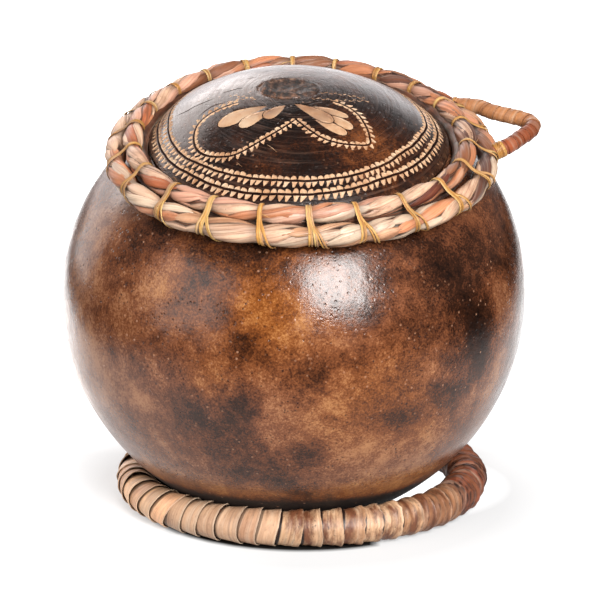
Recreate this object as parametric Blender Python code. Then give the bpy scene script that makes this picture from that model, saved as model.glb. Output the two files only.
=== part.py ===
"""A lidded container made from one dried round gourd.

The gourd stands inside a ring of wrapped palm leaf and leans a little to the front. Its top
is cut off as a lid, and a collar of two leaf-wrapped coils is laced round the mouth with
raffia. A small wrapped loop on the right of the collar is the handle. Metres, +Z up. The
origin is on the floor, under the middle of the gourd.
"""

import math

import bmesh
import bpy
from mathutils import Matrix, Vector

# How the gourd stands
MM = 0.001
GOURD_RADIUS = 105.0 * MM
GOURD_CENTRE_HEIGHT = 98.2 * MM
LEAN_TO_FRONT = math.radians(13.5)
LEAN_TO_RIGHT = math.radians(0.8)
GAP = 0.3 * MM

# Shell of the gourd, about its own axis, with heights taken from its centre
SHOULDER_RISE = 98.0 * MM
CAVITY_RADIUS = 100.0 * MM
CAVITY_RISE = 91.0 * MM
MOUTH_RADIUS = 61.5 * MM
RIM_RADIUS = 66.3 * MM
SEAT_DEPTH = 3.0 * MM
SEAT_EDGE = 86.0 * MM
SEAT_FADE = 9.0 * MM
MOUTH_SHIFT = 1.8 * MM
SHELL_SEGMENTS = 48
LOWER_STEPS = 10
SHOULDER_RADII = 8
CAVITY_STEPS = 10

# Lid, a cap of a slightly smaller sphere
LID_APEX = 100.4 * MM
LID_THICKNESS = 4.3 * MM
LID_EDGE = 1.9 * MM
LID_STEPS = 9
ENGRAVED_RINGS = (55.0 * MM, 60.0 * MM)
ENGRAVED_WIDTH = 0.9 * MM
ENGRAVED_DEPTH = 0.5 * MM
SCAR_SHIFT = -4.5 * MM
SCAR_RADIUS = 13.0 * MM
SCAR_RISE = 1.3 * MM
SCAR_RIM_WIDTH = 0.28

# Collar rows: radius and height of the centre line, tube radius, and how far out of round
STITCHES = 22
FIRST_STITCH = math.radians(11.5)
THREE_CORNERED = 1.4 * MM
CORNER_ANGLE = math.radians(96.0)
INNER_ROW_RADIUS = 73.6 * MM
INNER_ROW_HEIGHT = 77.6 * MM
INNER_ROW_TUBE = 4.5 * MM
OUTER_ROW_RADIUS = 81.7 * MM
OUTER_ROW_HEIGHT = 71.2 * MM
OUTER_ROW_TUBE = 5.1 * MM
OUTER_ROW_SHIFT = 2.6 * MM
OUTER_ROW_OVAL = 0.3 * MM
STATIONS_PER_STITCH = 4
ROW_SIDES = 8
STITCH_PINCH = 0.14
LEAF_LOBE = 0.05

# Raffia lacing, a flat strand that winds round both rows
STRAND_WIDTH = 2.0 * MM
STRAND_THICKNESS = 0.9 * MM
STRAND_LIFT = 0.95 * MM
VALLEY_ANGLE = math.radians(35.0)
ARC_POINTS = 7
RETURN_POINTS = 3

# Handle, a wrapped loop in the plane of the collar
HANDLE_TUBE = 3.7 * MM
HANDLE_HEIGHT = 72.6 * MM
HANDLE_BACK_ANGLE = math.radians(36.0)
HANDLE_FRONT_ANGLE = math.radians(-1.5)
HANDLE_ROUTE = [(82.0, 43.6), (88.5, 38.6), (95.5, 35.0), (102.0, 31.6),
                (106.6, 26.4), (105.2, 19.6), (100.0, 11.8), (94.6, 4.4)]
HANDLE_SIDES = 10
HANDLE_WRAPS = 16
HANDLE_WRAP_STEP = 0.35 * MM

# Foot ring, a leaf bundle with wide leaf strips wound round it
FOOT_RING_RADIUS = 75.7 * MM
FOOT_RING_TUBE = 8.6 * MM
FOOT_RING_CENTRE = Vector((4.3 * MM, 3.8 * MM, 8.1 * MM))
FOOT_RING_WRAPS = 52
FOOT_RING_SIDES = 12
FOOT_RING_WRAP_STEP = 0.8 * MM
WRAP_EDGE_SHARE = 0.06
WRAP_SLANT = math.radians(3.0)

# Colour, roughness of each material
LEAF_TAN = (0.50, 0.33, 0.19)
LEAF_PINK = (0.47, 0.27, 0.17)
RAFFIA_GOLD = (0.56, 0.35, 0.12)
CANE_BROWN = (0.42, 0.17, 0.07)
GOURD_BROWN = (0.20, 0.085, 0.035)
LID_BROWN = (0.13, 0.055, 0.028)


def clear_scene():
    for item in list(bpy.data.objects):
        bpy.data.objects.remove(item, do_unlink=True)


def material(name, colour, roughness):
    made = bpy.data.materials.new(name)
    made.use_nodes = True
    shader = made.node_tree.nodes["Principled BSDF"]
    shader.inputs["Base Color"].default_value = (*colour, 1.0)
    shader.inputs["Roughness"].default_value = roughness
    shader.inputs["Metallic"].default_value = 0.0
    return made


def new_object(name, mesh_builder, finish, parent=None):
    mesh = bpy.data.meshes.new(name)
    bmesh.ops.recalc_face_normals(mesh_builder, faces=mesh_builder.faces)
    mesh_builder.to_mesh(mesh)
    mesh_builder.free()
    mesh.shade_smooth()
    mesh.set_sharp_from_angle(angle=math.radians(50))
    made = bpy.data.objects.new(name, mesh)
    bpy.context.scene.collection.objects.link(made)
    if finish:
        mesh.materials.append(finish)
    made.parent = parent
    return made


def turned(profile, segments):
    """A solid of revolution; the profile starts and ends on the axis, as (radius, height)."""
    shape = bmesh.new()
    rings = []
    for radius, height in profile[1:-1]:
        ring = []
        for index in range(segments):
            angle = 2 * math.pi * index / segments
            ring.append(shape.verts.new((radius * math.cos(angle), radius * math.sin(angle), height)))
        rings.append(ring)
    start = shape.verts.new((0, 0, profile[0][1]))
    end = shape.verts.new((0, 0, profile[-1][1]))
    for index in range(segments):
        after = (index + 1) % segments
        shape.faces.new((start, rings[0][index], rings[0][after]))
        shape.faces.new((end, rings[-1][after], rings[-1][index]))
        for lower, upper in zip(rings, rings[1:]):
            shape.faces.new((lower[index], upper[index], upper[after], lower[after]))
    return shape


def skinned(sections, closed):
    """Joins a row of equal rings of points into a tube, with filled ends where it is open."""
    shape = bmesh.new()
    rings = [[shape.verts.new(point) for point in section] for section in sections]
    pairs = list(zip(rings, rings[1:]))
    if closed:
        pairs.append((rings[-1], rings[0]))
    else:
        shape.faces.new(rings[0])
        shape.faces.new(rings[-1])
    for first, second in pairs:
        count = len(first)
        for index in range(count):
            after = (index + 1) % count
            shape.faces.new((first[index], first[after], second[after], second[index]))
    return shape


def smoothstep(value):
    value = min(1.0, max(0.0, value))
    return value * value * (3 - 2 * value)


def shoulder_height(radius):
    """Outer surface above the widest line, let down a little where the collar sits on it."""
    seat = SEAT_DEPTH * (1 - smoothstep((radius - SEAT_EDGE) / SEAT_FADE))
    return SHOULDER_RISE * math.sqrt(1 - (radius / GOURD_RADIUS) ** 2) - seat


def make_bowl(parent, finish):
    rim_height = shoulder_height(RIM_RADIUS)
    profile = []
    for step in range(LOWER_STEPS + 1):
        angle = math.radians(-90 + 90 * step / LOWER_STEPS)
        profile.append((GOURD_RADIUS * math.cos(angle), GOURD_RADIUS * math.sin(angle)))
    widest = math.asin(RIM_RADIUS / GOURD_RADIUS)
    for step in range(1, SHOULDER_RADII + 1):
        angle = math.pi / 2 + (widest - math.pi / 2) * step / SHOULDER_RADII
        radius = GOURD_RADIUS * math.sin(angle)
        profile.append((radius, shoulder_height(radius)))
    mouth_angle = math.acos(MOUTH_RADIUS / CAVITY_RADIUS)
    profile.append((MOUTH_RADIUS, rim_height))
    for step in range(CAVITY_STEPS + 1):
        angle = mouth_angle + (-math.pi / 2 - mouth_angle) * step / CAVITY_STEPS
        profile.append((CAVITY_RADIUS * math.cos(angle), CAVITY_RISE * math.sin(angle)))
    shape = turned(profile, SHELL_SEGMENTS)
    # The mouth is cut a little to the right of the gourd's own axis
    for vertex in shape.verts:
        vertex.co.x += MOUTH_SHIFT * smoothstep(vertex.co.z / rim_height)
    # The bottom is worn to a flat spot that lies on the floor
    to_local = parent.matrix_world.inverted()
    floor_point = to_local @ Vector((0, 0, 0))
    floor_normal = to_local.to_3x3() @ Vector((0, 0, -1))
    cut = bmesh.ops.bisect_plane(shape, geom=shape.verts[:] + shape.edges[:] + shape.faces[:],
                                 plane_co=floor_point, plane_no=floor_normal, clear_outer=True)
    rim_edges = [item for item in cut["geom_cut"] if isinstance(item, bmesh.types.BMEdge)]
    bmesh.ops.contextual_create(shape, geom=rim_edges)
    return new_object("gourd_bowl", shape, finish, parent)


def lid_sphere(edge_height):
    rise = LID_APEX - edge_height
    radius = (RIM_RADIUS ** 2 + rise ** 2) / (2 * rise)
    return radius, LID_APEX - radius


def make_lid(parent, finish):
    under_rim = shoulder_height(RIM_RADIUS) + GAP
    edge_height = under_rim + LID_EDGE
    radius, centre = lid_sphere(edge_height)
    inner_radius = radius - LID_THICKNESS
    widest = math.asin(RIM_RADIUS / radius)
    half_cut = ENGRAVED_WIDTH / 2
    cuts = [math.asin(ring / radius) for ring in ENGRAVED_RINGS]
    steps = [widest * step / LID_STEPS for step in range(LID_STEPS + 1)]
    steps = [(angle, 0.0) for angle in steps if all(abs(angle - cut) * radius > half_cut for cut in cuts)]
    for cut in cuts:
        steps.append((cut - half_cut / radius, 0.0))
        steps.append((cut, ENGRAVED_DEPTH))
        steps.append((cut + half_cut / radius, 0.0))
    profile = []
    for angle, depth in sorted(steps):
        reach = radius - depth
        profile.append((reach * math.sin(angle), centre + reach * math.cos(angle)))
    profile.append((RIM_RADIUS, under_rim))
    profile.append((MOUTH_RADIUS, under_rim))
    inner_edge = math.acos((under_rim + LID_EDGE - centre) / inner_radius)
    inner_steps = LID_STEPS - 2
    for step in range(inner_steps + 1):
        angle = inner_edge * (1 - step / inner_steps)
        profile.append((inner_radius * math.sin(angle), centre + inner_radius * math.cos(angle)))
    shape = turned(profile, SHELL_SEGMENTS)
    # The stem scar is a low rough crater, its rim higher than its middle
    under_skin = centre + inner_radius + LID_THICKNESS / 2
    for vertex in shape.verts:
        away = math.hypot(vertex.co.x - SCAR_SHIFT, vertex.co.y) / SCAR_RADIUS
        if away < 1 and vertex.co.z > under_skin - SCAR_RADIUS * away / 4:
            crater = smoothstep((1 - away) / SCAR_RIM_WIDTH) * (0.45 + 0.55 * away)
            vertex.co.z += SCAR_RISE * crater
    bmesh.ops.translate(shape, verts=shape.verts[:], vec=(MOUTH_SHIFT, 0, 0))
    return new_object("gourd_lid", shape, finish, parent)


def pinch(angle):
    """Share of the full tube radius: least at a stitch, full half way between two."""
    phase = (angle - FIRST_STITCH) * STITCHES
    return 1 - STITCH_PINCH * (0.5 + 0.5 * math.cos(phase))


def row_radius(row, angle):
    radius, oval = (INNER_ROW_RADIUS, 0.0) if row == "inner" else (OUTER_ROW_RADIUS, OUTER_ROW_OVAL)
    corner = THREE_CORNERED * math.cos(3 * (angle - CORNER_ANGLE))
    return radius + corner + oval * math.cos(2 * angle)


def row_place(row, angle):
    """Centre line of a collar row: a point and the direction straight out of the ring."""
    outward = Vector((math.cos(angle), math.sin(angle), 0))
    shift, height = MOUTH_SHIFT, INNER_ROW_HEIGHT
    if row == "outer":
        shift, height = OUTER_ROW_SHIFT, OUTER_ROW_HEIGHT
    return Vector((shift, 0, height)) + outward * row_radius(row, angle), outward


def row_sections(row, tube, swell, lobe, stations):
    sections = []
    for index in range(stations):
        angle = FIRST_STITCH + 2 * math.pi * index / stations
        centre, outward = row_place(row, angle)
        radius = (tube + swell) * (pinch(angle) if lobe else 1.0)
        twist = angle * STITCHES / 2
        section = []
        for side in range(ROW_SIDES):
            turn = 2 * math.pi * side / ROW_SIDES
            reach = radius * (1 - lobe + lobe * math.cos(2 * (turn - twist)))
            off = outward * math.cos(turn) + Vector((0, 0, math.sin(turn)))
            section.append(centre + off * reach)
        sections.append(section)
    return sections


def make_row(row, tube, parent, finish):
    sections = row_sections(row, tube, 0.0, LEAF_LOBE, STITCHES * STATIONS_PER_STITCH)
    return new_object("collar_coil_" + row, skinned(sections, True), finish, parent)


def cross_point(row, tube, angle, turn):
    """A point of the strand against one row, with the direction straight off the row."""
    centre, outward = row_place(row, angle)
    off = outward * math.cos(turn) + Vector((0, 0, math.sin(turn)))
    return centre + off * (tube * pinch(angle) + STRAND_LIFT), off


def lacing_route():
    """One strand: over the inner row, into the valley, over the outer row and back below."""
    inner, outward = row_place("inner", FIRST_STITCH)
    outer = row_place("outer", FIRST_STITCH)[0]
    lean = math.atan2(outer.z - inner.z, (outer - inner).dot(outward))
    below = lean - math.pi / 2
    sweep = math.pi * 1.5 - VALLEY_ANGLE
    route = []
    for stitch in range(STITCHES):
        angle = FIRST_STITCH + 2 * math.pi * stitch / STITCHES
        for step in range(ARC_POINTS):
            turn = below - sweep * step / (ARC_POINTS - 1)
            route.append(cross_point("inner", INNER_ROW_TUBE, angle, turn))
        for step in range(ARC_POINTS):
            turn = lean + math.pi - VALLEY_ANGLE - sweep * step / (ARC_POINTS - 1)
            route.append(cross_point("outer", OUTER_ROW_TUBE, angle, turn))
        for step in range(1, RETURN_POINTS + 1):
            share = step / (RETURN_POINTS + 1)
            moving = angle + 2 * math.pi / STITCHES * share
            start, off = cross_point("outer", OUTER_ROW_TUBE, moving, below)
            end = cross_point("inner", INNER_ROW_TUBE, moving, below)[0]
            route.append((start.lerp(end, share), off))
    return route


def make_lacing(parent, finish):
    route = lacing_route()
    count = len(route)
    sections = []
    for index, (point, off) in enumerate(route):
        along = (route[(index + 1) % count][0] - route[index - 1][0]).normalized()
        across = along.cross(off).normalized()
        off = across.cross(along)
        wide = across * STRAND_WIDTH / 2
        thick = off * STRAND_THICKNESS / 2
        corners = [wide + thick, thick - wide, -wide - thick, wide - thick]
        sections.append([point + corner for corner in corners])
    return new_object("raffia_lacing", skinned(sections, True), finish, parent)


def smooth_path(points, samples):
    """Evenly spaced places and directions on a smooth curve through the points."""
    fine = []
    for index in range(len(points) - 1):
        before = points[max(index - 1, 0)]
        start, end = points[index], points[index + 1]
        after = points[min(index + 2, len(points) - 1)]
        for step in range(20):
            t = step / 20
            fine.append(0.5 * (2 * start + (end - before) * t
                               + (2 * before - 5 * start + 4 * end - after) * t ** 2
                               + (3 * start - before - 3 * end + after) * t ** 3))
    fine.append(points[-1])
    lengths = [0.0]
    for first, second in zip(fine, fine[1:]):
        lengths.append(lengths[-1] + (second - first).length)
    places = []
    for share in samples:
        wanted = share * lengths[-1]
        index = next(i for i, length in enumerate(lengths) if length >= wanted - 1e-12)
        index = max(index, 1)
        part = (wanted - lengths[index - 1]) / (lengths[index] - lengths[index - 1])
        direction = (fine[index] - fine[index - 1]).normalized()
        places.append((fine[index - 1].lerp(fine[index], part), direction))
    return places


def wrap_samples(wraps):
    """Two places to each wrap, just after its edge and just before the next, and their lift."""
    samples = []
    for wrap in range(wraps):
        samples.append(((wrap + WRAP_EDGE_SHARE) / wraps, 0.0))
        samples.append(((wrap + 1 - WRAP_EDGE_SHARE) / wraps, 1.0))
    return samples


def make_handle(parent, finish, cutter):
    back_end = row_place("outer", HANDLE_BACK_ANGLE)[0]
    front_end = row_place("outer", HANDLE_FRONT_ANGLE)[0]
    points = [back_end]
    points += [Vector((x * MM, y * MM, HANDLE_HEIGHT)) for x, y in HANDLE_ROUTE]
    points.append(front_end)
    samples = wrap_samples(HANDLE_WRAPS)
    places = smooth_path(points, [share for share, lift in samples])
    up = Vector((0, 0, 1))
    sections = []
    for (place, along), (share, lift) in zip(places, samples):
        side = up.cross(along).normalized()
        top = along.cross(side)
        reach = HANDLE_TUBE - HANDLE_WRAP_STEP * (1 - lift)
        section = []
        for index in range(HANDLE_SIDES):
            turn = 2 * math.pi * index / HANDLE_SIDES
            section.append(place + side * reach * math.cos(turn) + top * reach * math.sin(turn))
        sections.append(section)
    handle = new_object("handle_loop", skinned(sections, False), finish, parent)
    # The ends are hollowed to sit against the outer row
    cut = handle.modifiers.new("fit_to_row", "BOOLEAN")
    cut.operation = "DIFFERENCE"
    cut.solver = "EXACT"
    cut.object = cutter
    return handle


def make_foot_ring(finish):
    sections = []
    for share, lift in wrap_samples(FOOT_RING_WRAPS):
        section = []
        for side in range(FOOT_RING_SIDES):
            turn = 2 * math.pi * (side + 0.5) / FOOT_RING_SIDES
            # Each strip runs round the bundle on a slant
            angle = 2 * math.pi * share + WRAP_SLANT * math.sin(turn)
            reach = FOOT_RING_TUBE - FOOT_RING_WRAP_STEP * (1 - lift)
            outward = Vector((math.cos(angle), math.sin(angle), 0))
            point = FOOT_RING_CENTRE + outward * (FOOT_RING_RADIUS + reach * math.cos(turn))
            point.z += reach * math.sin(turn)
            section.append(point)
        sections.append(section)
    shape = skinned(sections, True)
    # The underside is pressed flat where the ring lies on the floor
    for vertex in shape.verts:
        vertex.co.z = max(vertex.co.z, 0.0)
    return new_object("foot_ring", shape, finish)


def build():
    clear_scene()
    axis = bpy.data.objects.new("gourd_axis", None)
    bpy.context.scene.collection.objects.link(axis)
    axis.location = (0, 0, GOURD_CENTRE_HEIGHT)
    axis.rotation_euler = (LEAN_TO_FRONT, LEAN_TO_RIGHT, 0)
    axis.matrix_world = (Matrix.Translation(axis.location)
                         @ axis.rotation_euler.to_matrix().to_4x4())

    leaf = material("palm_leaf_collar", LEAF_PINK, 0.6)
    make_bowl(axis, material("gourd_skin", GOURD_BROWN, 0.25))
    make_lid(axis, material("gourd_lid_skin", LID_BROWN, 0.3))
    make_row("inner", INNER_ROW_TUBE, axis, leaf)
    make_row("outer", OUTER_ROW_TUBE, axis, leaf)
    make_lacing(axis, material("raffia", RAFFIA_GOLD, 0.55))

    cutter_sections = row_sections("outer", OUTER_ROW_TUBE, 2 * GAP, 0.0, 2 * STITCHES)
    cutter = new_object("row_cutter", skinned(cutter_sections, True), None, axis)
    cutter.hide_render = True
    cutter.display_type = "WIRE"
    make_handle(axis, material("handle_cane", CANE_BROWN, 0.45), cutter)
    make_foot_ring(material("palm_leaf_foot", LEAF_TAN, 0.6))


build()
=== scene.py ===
"""Looks of a lidded container made from a dried round gourd.

Every piece is built in metres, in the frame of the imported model. The gourd, its lid, collar and
handle lean together, so they are built about the gourd's own axis and then turned with it.
"""

import math
import random

import bmesh
import bpy
import numpy as np
from mathutils import Euler, Matrix, Vector, noise
from mathutils.geometry import delaunay_2d_cdt


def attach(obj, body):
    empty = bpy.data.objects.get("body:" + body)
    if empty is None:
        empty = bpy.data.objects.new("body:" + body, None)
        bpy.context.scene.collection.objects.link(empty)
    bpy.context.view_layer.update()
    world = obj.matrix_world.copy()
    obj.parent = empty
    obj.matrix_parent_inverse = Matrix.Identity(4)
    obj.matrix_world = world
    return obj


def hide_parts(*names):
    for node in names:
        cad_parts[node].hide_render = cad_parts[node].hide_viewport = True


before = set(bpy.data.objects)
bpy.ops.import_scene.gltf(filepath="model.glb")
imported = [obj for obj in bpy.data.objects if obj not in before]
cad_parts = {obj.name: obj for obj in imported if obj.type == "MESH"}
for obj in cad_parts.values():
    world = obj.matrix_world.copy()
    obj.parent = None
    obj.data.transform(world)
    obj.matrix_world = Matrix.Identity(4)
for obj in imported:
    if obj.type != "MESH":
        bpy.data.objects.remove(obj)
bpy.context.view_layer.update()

# How the gourd stands, as in the solids
MM = 0.001
GOURD_RADIUS = 105.0 * MM
GOURD_CENTRE_HEIGHT = 98.2 * MM
LEAN_TO_FRONT = math.radians(13.5)
LEAN_TO_RIGHT = math.radians(0.8)
GOURD_AXIS = (Matrix.Translation((0, 0, GOURD_CENTRE_HEIGHT))
              @ Euler((LEAN_TO_FRONT, LEAN_TO_RIGHT, 0)).to_matrix().to_4x4())

# Shell and lid
SHOULDER_RISE = 98.0 * MM
CAVITY_RADIUS = 100.0 * MM
CAVITY_RISE = 91.0 * MM
MOUTH_RADIUS = 61.5 * MM
RIM_RADIUS = 66.3 * MM
SEAT_DEPTH = 3.0 * MM
SEAT_EDGE = 68.0 * MM
SEAT_FADE = 26.0 * MM
MOUTH_SHIFT = 1.8 * MM
LID_GAP = 0.3 * MM
LID_EDGE = 1.9 * MM
LID_APEX = 100.4 * MM
LID_THICKNESS = 4.3 * MM

# Collar rows
STITCHES = 22
FIRST_STITCH = math.radians(11.5)
STITCH_ANGLE = 2 * math.pi / STITCHES
THREE_CORNERED = 1.4 * MM
CORNER_ANGLE = math.radians(96.0)
ROWS = {
    "inner": {"radius": 73.6 * MM, "height": 77.6 * MM, "tube": 4.5 * MM, "shift": 1.8 * MM,
              "oval": 0.0},
    "outer": {"radius": 81.7 * MM, "height": 71.2 * MM, "tube": 5.1 * MM, "shift": 2.6 * MM,
              "oval": 0.3 * MM},
}

# Handle
HANDLE_TUBE = 3.7 * MM
HANDLE_HEIGHT = 72.6 * MM
HANDLE_BACK_ANGLE = math.radians(36.0)
HANDLE_FRONT_ANGLE = math.radians(-1.5)
HANDLE_ROUTE = [(82.0, 43.6), (88.5, 38.6), (95.5, 35.0), (102.0, 31.6),
                (106.6, 26.4), (105.2, 19.6), (100.0, 11.8), (94.6, 4.4)]
HANDLE_WRAPS = 16

# Foot ring
FOOT_RING_RADIUS = 75.7 * MM
FOOT_RING_TUBE = 8.6 * MM
FOOT_RING_CENTRE = np.array([4.3, 3.8, 8.1]) * MM
FOOT_RING_WRAPS = 53
FOOT_RING_SLANT_FRONT = math.radians(0.6)
FOOT_RING_SLANT_LEFT = math.radians(3.0)
STRIP_THICKNESS = 0.42 * MM
LEAF_THICKNESS = 0.35 * MM

# Camera: seen from 16 degrees above the horizon, with a long lens
CAMERA_ELEVATION = math.radians(16.0)
CAMERA_DISTANCE = 1.5
CAMERA_LENS_MM = 198.4
CAMERA_TARGET = Vector((3.2 * MM, 0.0, 93.7 * MM))
# The key light makes a surface that faces it this many times brighter than its own colour
KEY_GAIN = 3.0


def srgb(red, green, blue):
    """A colour given as it is seen on a screen, 0 to 255, as the linear values a shader takes."""
    linear = []
    for value in (red, green, blue):
        value /= 255
        linear.append(value / 12.92 if value <= 0.04045 else ((value + 0.055) / 1.055) ** 2.4)
    return tuple(linear)


def seen(red, green, blue):
    """A surface colour, given as it looks where the key light falls on it."""
    return tuple(value / KEY_GAIN for value in srgb(red, green, blue))


def lit(colour, light, stain):
    """A leaf's colour made lighter or darker, with how much it is stained as a fourth value."""
    return (*(value * light for value in colour), stain)


def smoothstep(value):
    value = np.clip(value, 0.0, 1.0)
    return value * value * (3 - 2 * value)


def unit(vectors):
    return vectors / np.maximum(np.linalg.norm(vectors, axis=-1, keepdims=True), 1e-12)


def full_turn(count):
    """Angles once round, evenly apart."""
    return np.linspace(0, 2 * math.pi, count, endpoint=False)


def signed_degrees(angle):
    """An angle in degrees, from -180 to 180."""
    return (math.degrees(angle) + 180) % 360 - 180


def curve_lengths(curve):
    """Distance along a curve at each of its points."""
    return np.concatenate([[0], np.cumsum(np.linalg.norm(np.diff(curve, axis=0), axis=1))])


def along_curve(curve, lengths, wanted):
    """Points of a curve at the distances wanted along it."""
    return np.stack([np.interp(wanted, lengths, values) for values in curve.T], axis=-1)


def to_world(points):
    """Points about the gourd's axis, turned and moved to where they stand."""
    turn = np.array(GOURD_AXIS.to_3x3())
    return points @ turn.T + np.array(GOURD_AXIS.translation)


# Materials


class Shader:
    """A Principled material and short calls for the nodes that feed it."""

    def __init__(self, name, roughness=0.5, specular=0.5, coat=0.0):
        self.material = bpy.data.materials.new(name)
        self.material.use_nodes = True
        self.tree = self.material.node_tree
        self.shader = self.tree.nodes["Principled BSDF"]
        self.shader.inputs["Roughness"].default_value = roughness
        self.shader.inputs["Specular IOR Level"].default_value = specular
        self.shader.inputs["Coat Weight"].default_value = coat
        self.shader.inputs["Coat Roughness"].default_value = 0.2

    def node(self, kind, inputs=None, **settings):
        """A new node with its settings, and with its inputs given by name or number."""
        made = self.tree.nodes.new(kind)
        for name, value in settings.items():
            setattr(made, name, value)
        for name, value in (inputs or {}).items():
            self.feed(made.inputs[name], value)
        return made

    def feed(self, socket, value):
        if isinstance(value, bpy.types.NodeSocket):
            self.tree.links.new(value, socket)
        elif isinstance(value, tuple) and len(value) == 3 and socket.type == "RGBA":
            socket.default_value = (*value, 1.0)
        else:
            socket.default_value = value

    def place(self, scale=(1, 1, 1), shift=(0, 0, 0), uv=False):
        """Object coordinates in metres, or the strip's own along and across coordinates."""
        if uv:
            source = self.node("ShaderNodeUVMap", uv_map="strip").outputs["UV"]
        else:
            source = self.node("ShaderNodeTexCoord").outputs["Object"]
        inputs = {"Vector": source, "Scale": scale, "Location": shift}
        return self.node("ShaderNodeMapping", inputs).outputs["Vector"]

    def noise(self, place, scale=1.0, detail=4.0, roughness=0.55, distortion=0.0):
        inputs = {"Vector": place, "Scale": scale, "Detail": detail, "Roughness": roughness,
                  "Distortion": distortion}
        return self.node("ShaderNodeTexNoise", inputs).outputs["Fac"]

    def cells(self, place, scale):
        inputs = {"Vector": place, "Scale": scale}
        return self.node("ShaderNodeTexVoronoi", inputs, feature="F1").outputs["Distance"]

    def attribute(self, name, output="Fac"):
        return self.node("ShaderNodeAttribute", attribute_name=name).outputs[output]

    def math(self, operation, first, second=0.0, clamp=False):
        inputs = {0: first, 1: second}
        return self.node("ShaderNodeMath", inputs, operation=operation, use_clamp=clamp).outputs[0]

    def span(self, value, low, high, to_low=0.0, to_high=1.0):
        """The value, stretched from one span to another and held within it."""
        inputs = {"Value": value, "From Min": low, "From Max": high, "To Min": to_low, "To Max": to_high}
        return self.node("ShaderNodeMapRange", inputs, clamp=True).outputs["Result"]

    def mix(self, share, first, second):
        """The first colour with so much of the second; a Mix node's colours are inputs 6 and 7."""
        inputs = {0: share, 6: first, 7: second}
        return self.node("ShaderNodeMix", inputs, data_type="RGBA").outputs[2]

    def ramp(self, value, stops):
        made = self.node("ShaderNodeValToRGB", {"Fac": value})
        elements = made.color_ramp.elements
        while len(elements) < len(stops):
            elements.new(0.5)
        for element, (position, colour) in zip(elements, stops):
            element.position = position
            element.color = (*colour, 1.0)
        return made.outputs["Color"]

    def bump(self, height, distance, strength=1.0, after=None):
        inputs = {"Height": height, "Distance": distance, "Strength": strength}
        if after is not None:
            inputs["Normal"] = after
        return self.node("ShaderNodeBump", inputs).outputs["Normal"]

    def finish(self, colour, roughness=None, normal=None):
        self.feed(self.shader.inputs["Base Color"], colour)
        if roughness is not None:
            self.feed(self.shader.inputs["Roughness"], roughness)
        if normal is not None:
            self.feed(self.shader.inputs["Normal"], normal)
        return self.material


def gourd_skin(name, palette, ochre, seed, gloss, coat):
    """Waxed gourd rind: cloudy patches of brown, small pale and dark specks, fine pits."""
    skin = Shader(name, specular=gloss, coat=coat)
    skin.shader.inputs["Specular Tint"].default_value = (1.0, 0.96, 0.94, 1.0)
    shift = (seed, seed * 0.37, -seed * 0.61)
    place = skin.place(shift=shift)
    tone = skin.attribute("tone_and_painted_light")
    # Noise at four scales: repeats for each metre, detail and how much it changes the tone
    for scale, detail, amount in ((26, 4, 0.74), (75, 5, 0.66), (240, 4, 0.46), (1100, 3, 0.80)):
        layer = skin.noise(place, scale, detail, 0.6, 0.5)
        tone = skin.math("ADD", tone, skin.math("MULTIPLY", skin.math("SUBTRACT", layer, 0.5), amount))
    colour = skin.mix(skin.attribute("ochre"), skin.ramp(tone, palette), skin.ramp(tone, ochre))
    specks = skin.cells(place, 260)
    field = skin.noise(place, 34, 2, 0.5)
    pale = skin.math("MULTIPLY", skin.span(specks, 0.17, 0.08), skin.span(field, 0.44, 0.60))
    colour = skin.mix(skin.math("MULTIPLY", pale, 0.5), colour, seen(232, 172, 134))
    pits = skin.span(skin.cells(skin.place(shift=(seed, 0.3, 0.2)), 420), 0.26, 0.10)
    pits = skin.math("MULTIPLY", pits, skin.span(skin.noise(place, 60, 3, 0.6), 0.40, 0.60))
    colour = skin.mix(skin.math("MULTIPLY", pits, 0.8), colour, seen(34, 18, 12))
    roughness = skin.span(skin.noise(place, 90, 5, 0.7), 0.3, 0.75, 0.13, 0.30)
    normal = skin.bump(skin.noise(place, 30, 2, 0.5), 1.2 * MM, 0.5)
    normal = skin.bump(skin.noise(place, 160, 3, 0.55), 0.18 * MM, 0.7, normal)
    normal = skin.bump(skin.noise(place, 700, 4, 0.65), 0.09 * MM, 0.9, normal)
    normal = skin.bump(pits, -0.12 * MM, 0.8, normal)
    normal = skin.bump(pale, 0.10 * MM, 0.6, normal)
    return skin, colour, roughness, normal


def bowl_material():
    palette = [(0.10, seen(30, 16, 11)), (0.34, seen(66, 37, 24)), (0.50, seen(110, 64, 42)),
               (0.66, seen(146, 88, 58)), (0.92, seen(204, 142, 102))]
    ochre = [(0.10, seen(34, 16, 6)), (0.34, seen(76, 38, 13)), (0.50, seen(124, 65, 22)),
             (0.66, seen(164, 93, 38)), (0.92, seen(220, 150, 82))]
    skin, colour, roughness, normal = gourd_skin("gourd_skin", palette, ochre, 3.1, 0.29, 0.0)
    roughness = skin.math("ADD", roughness, skin.math("MULTIPLY", skin.attribute("dull"), 0.6), clamp=True)
    return skin.finish(colour, roughness, normal)


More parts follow.
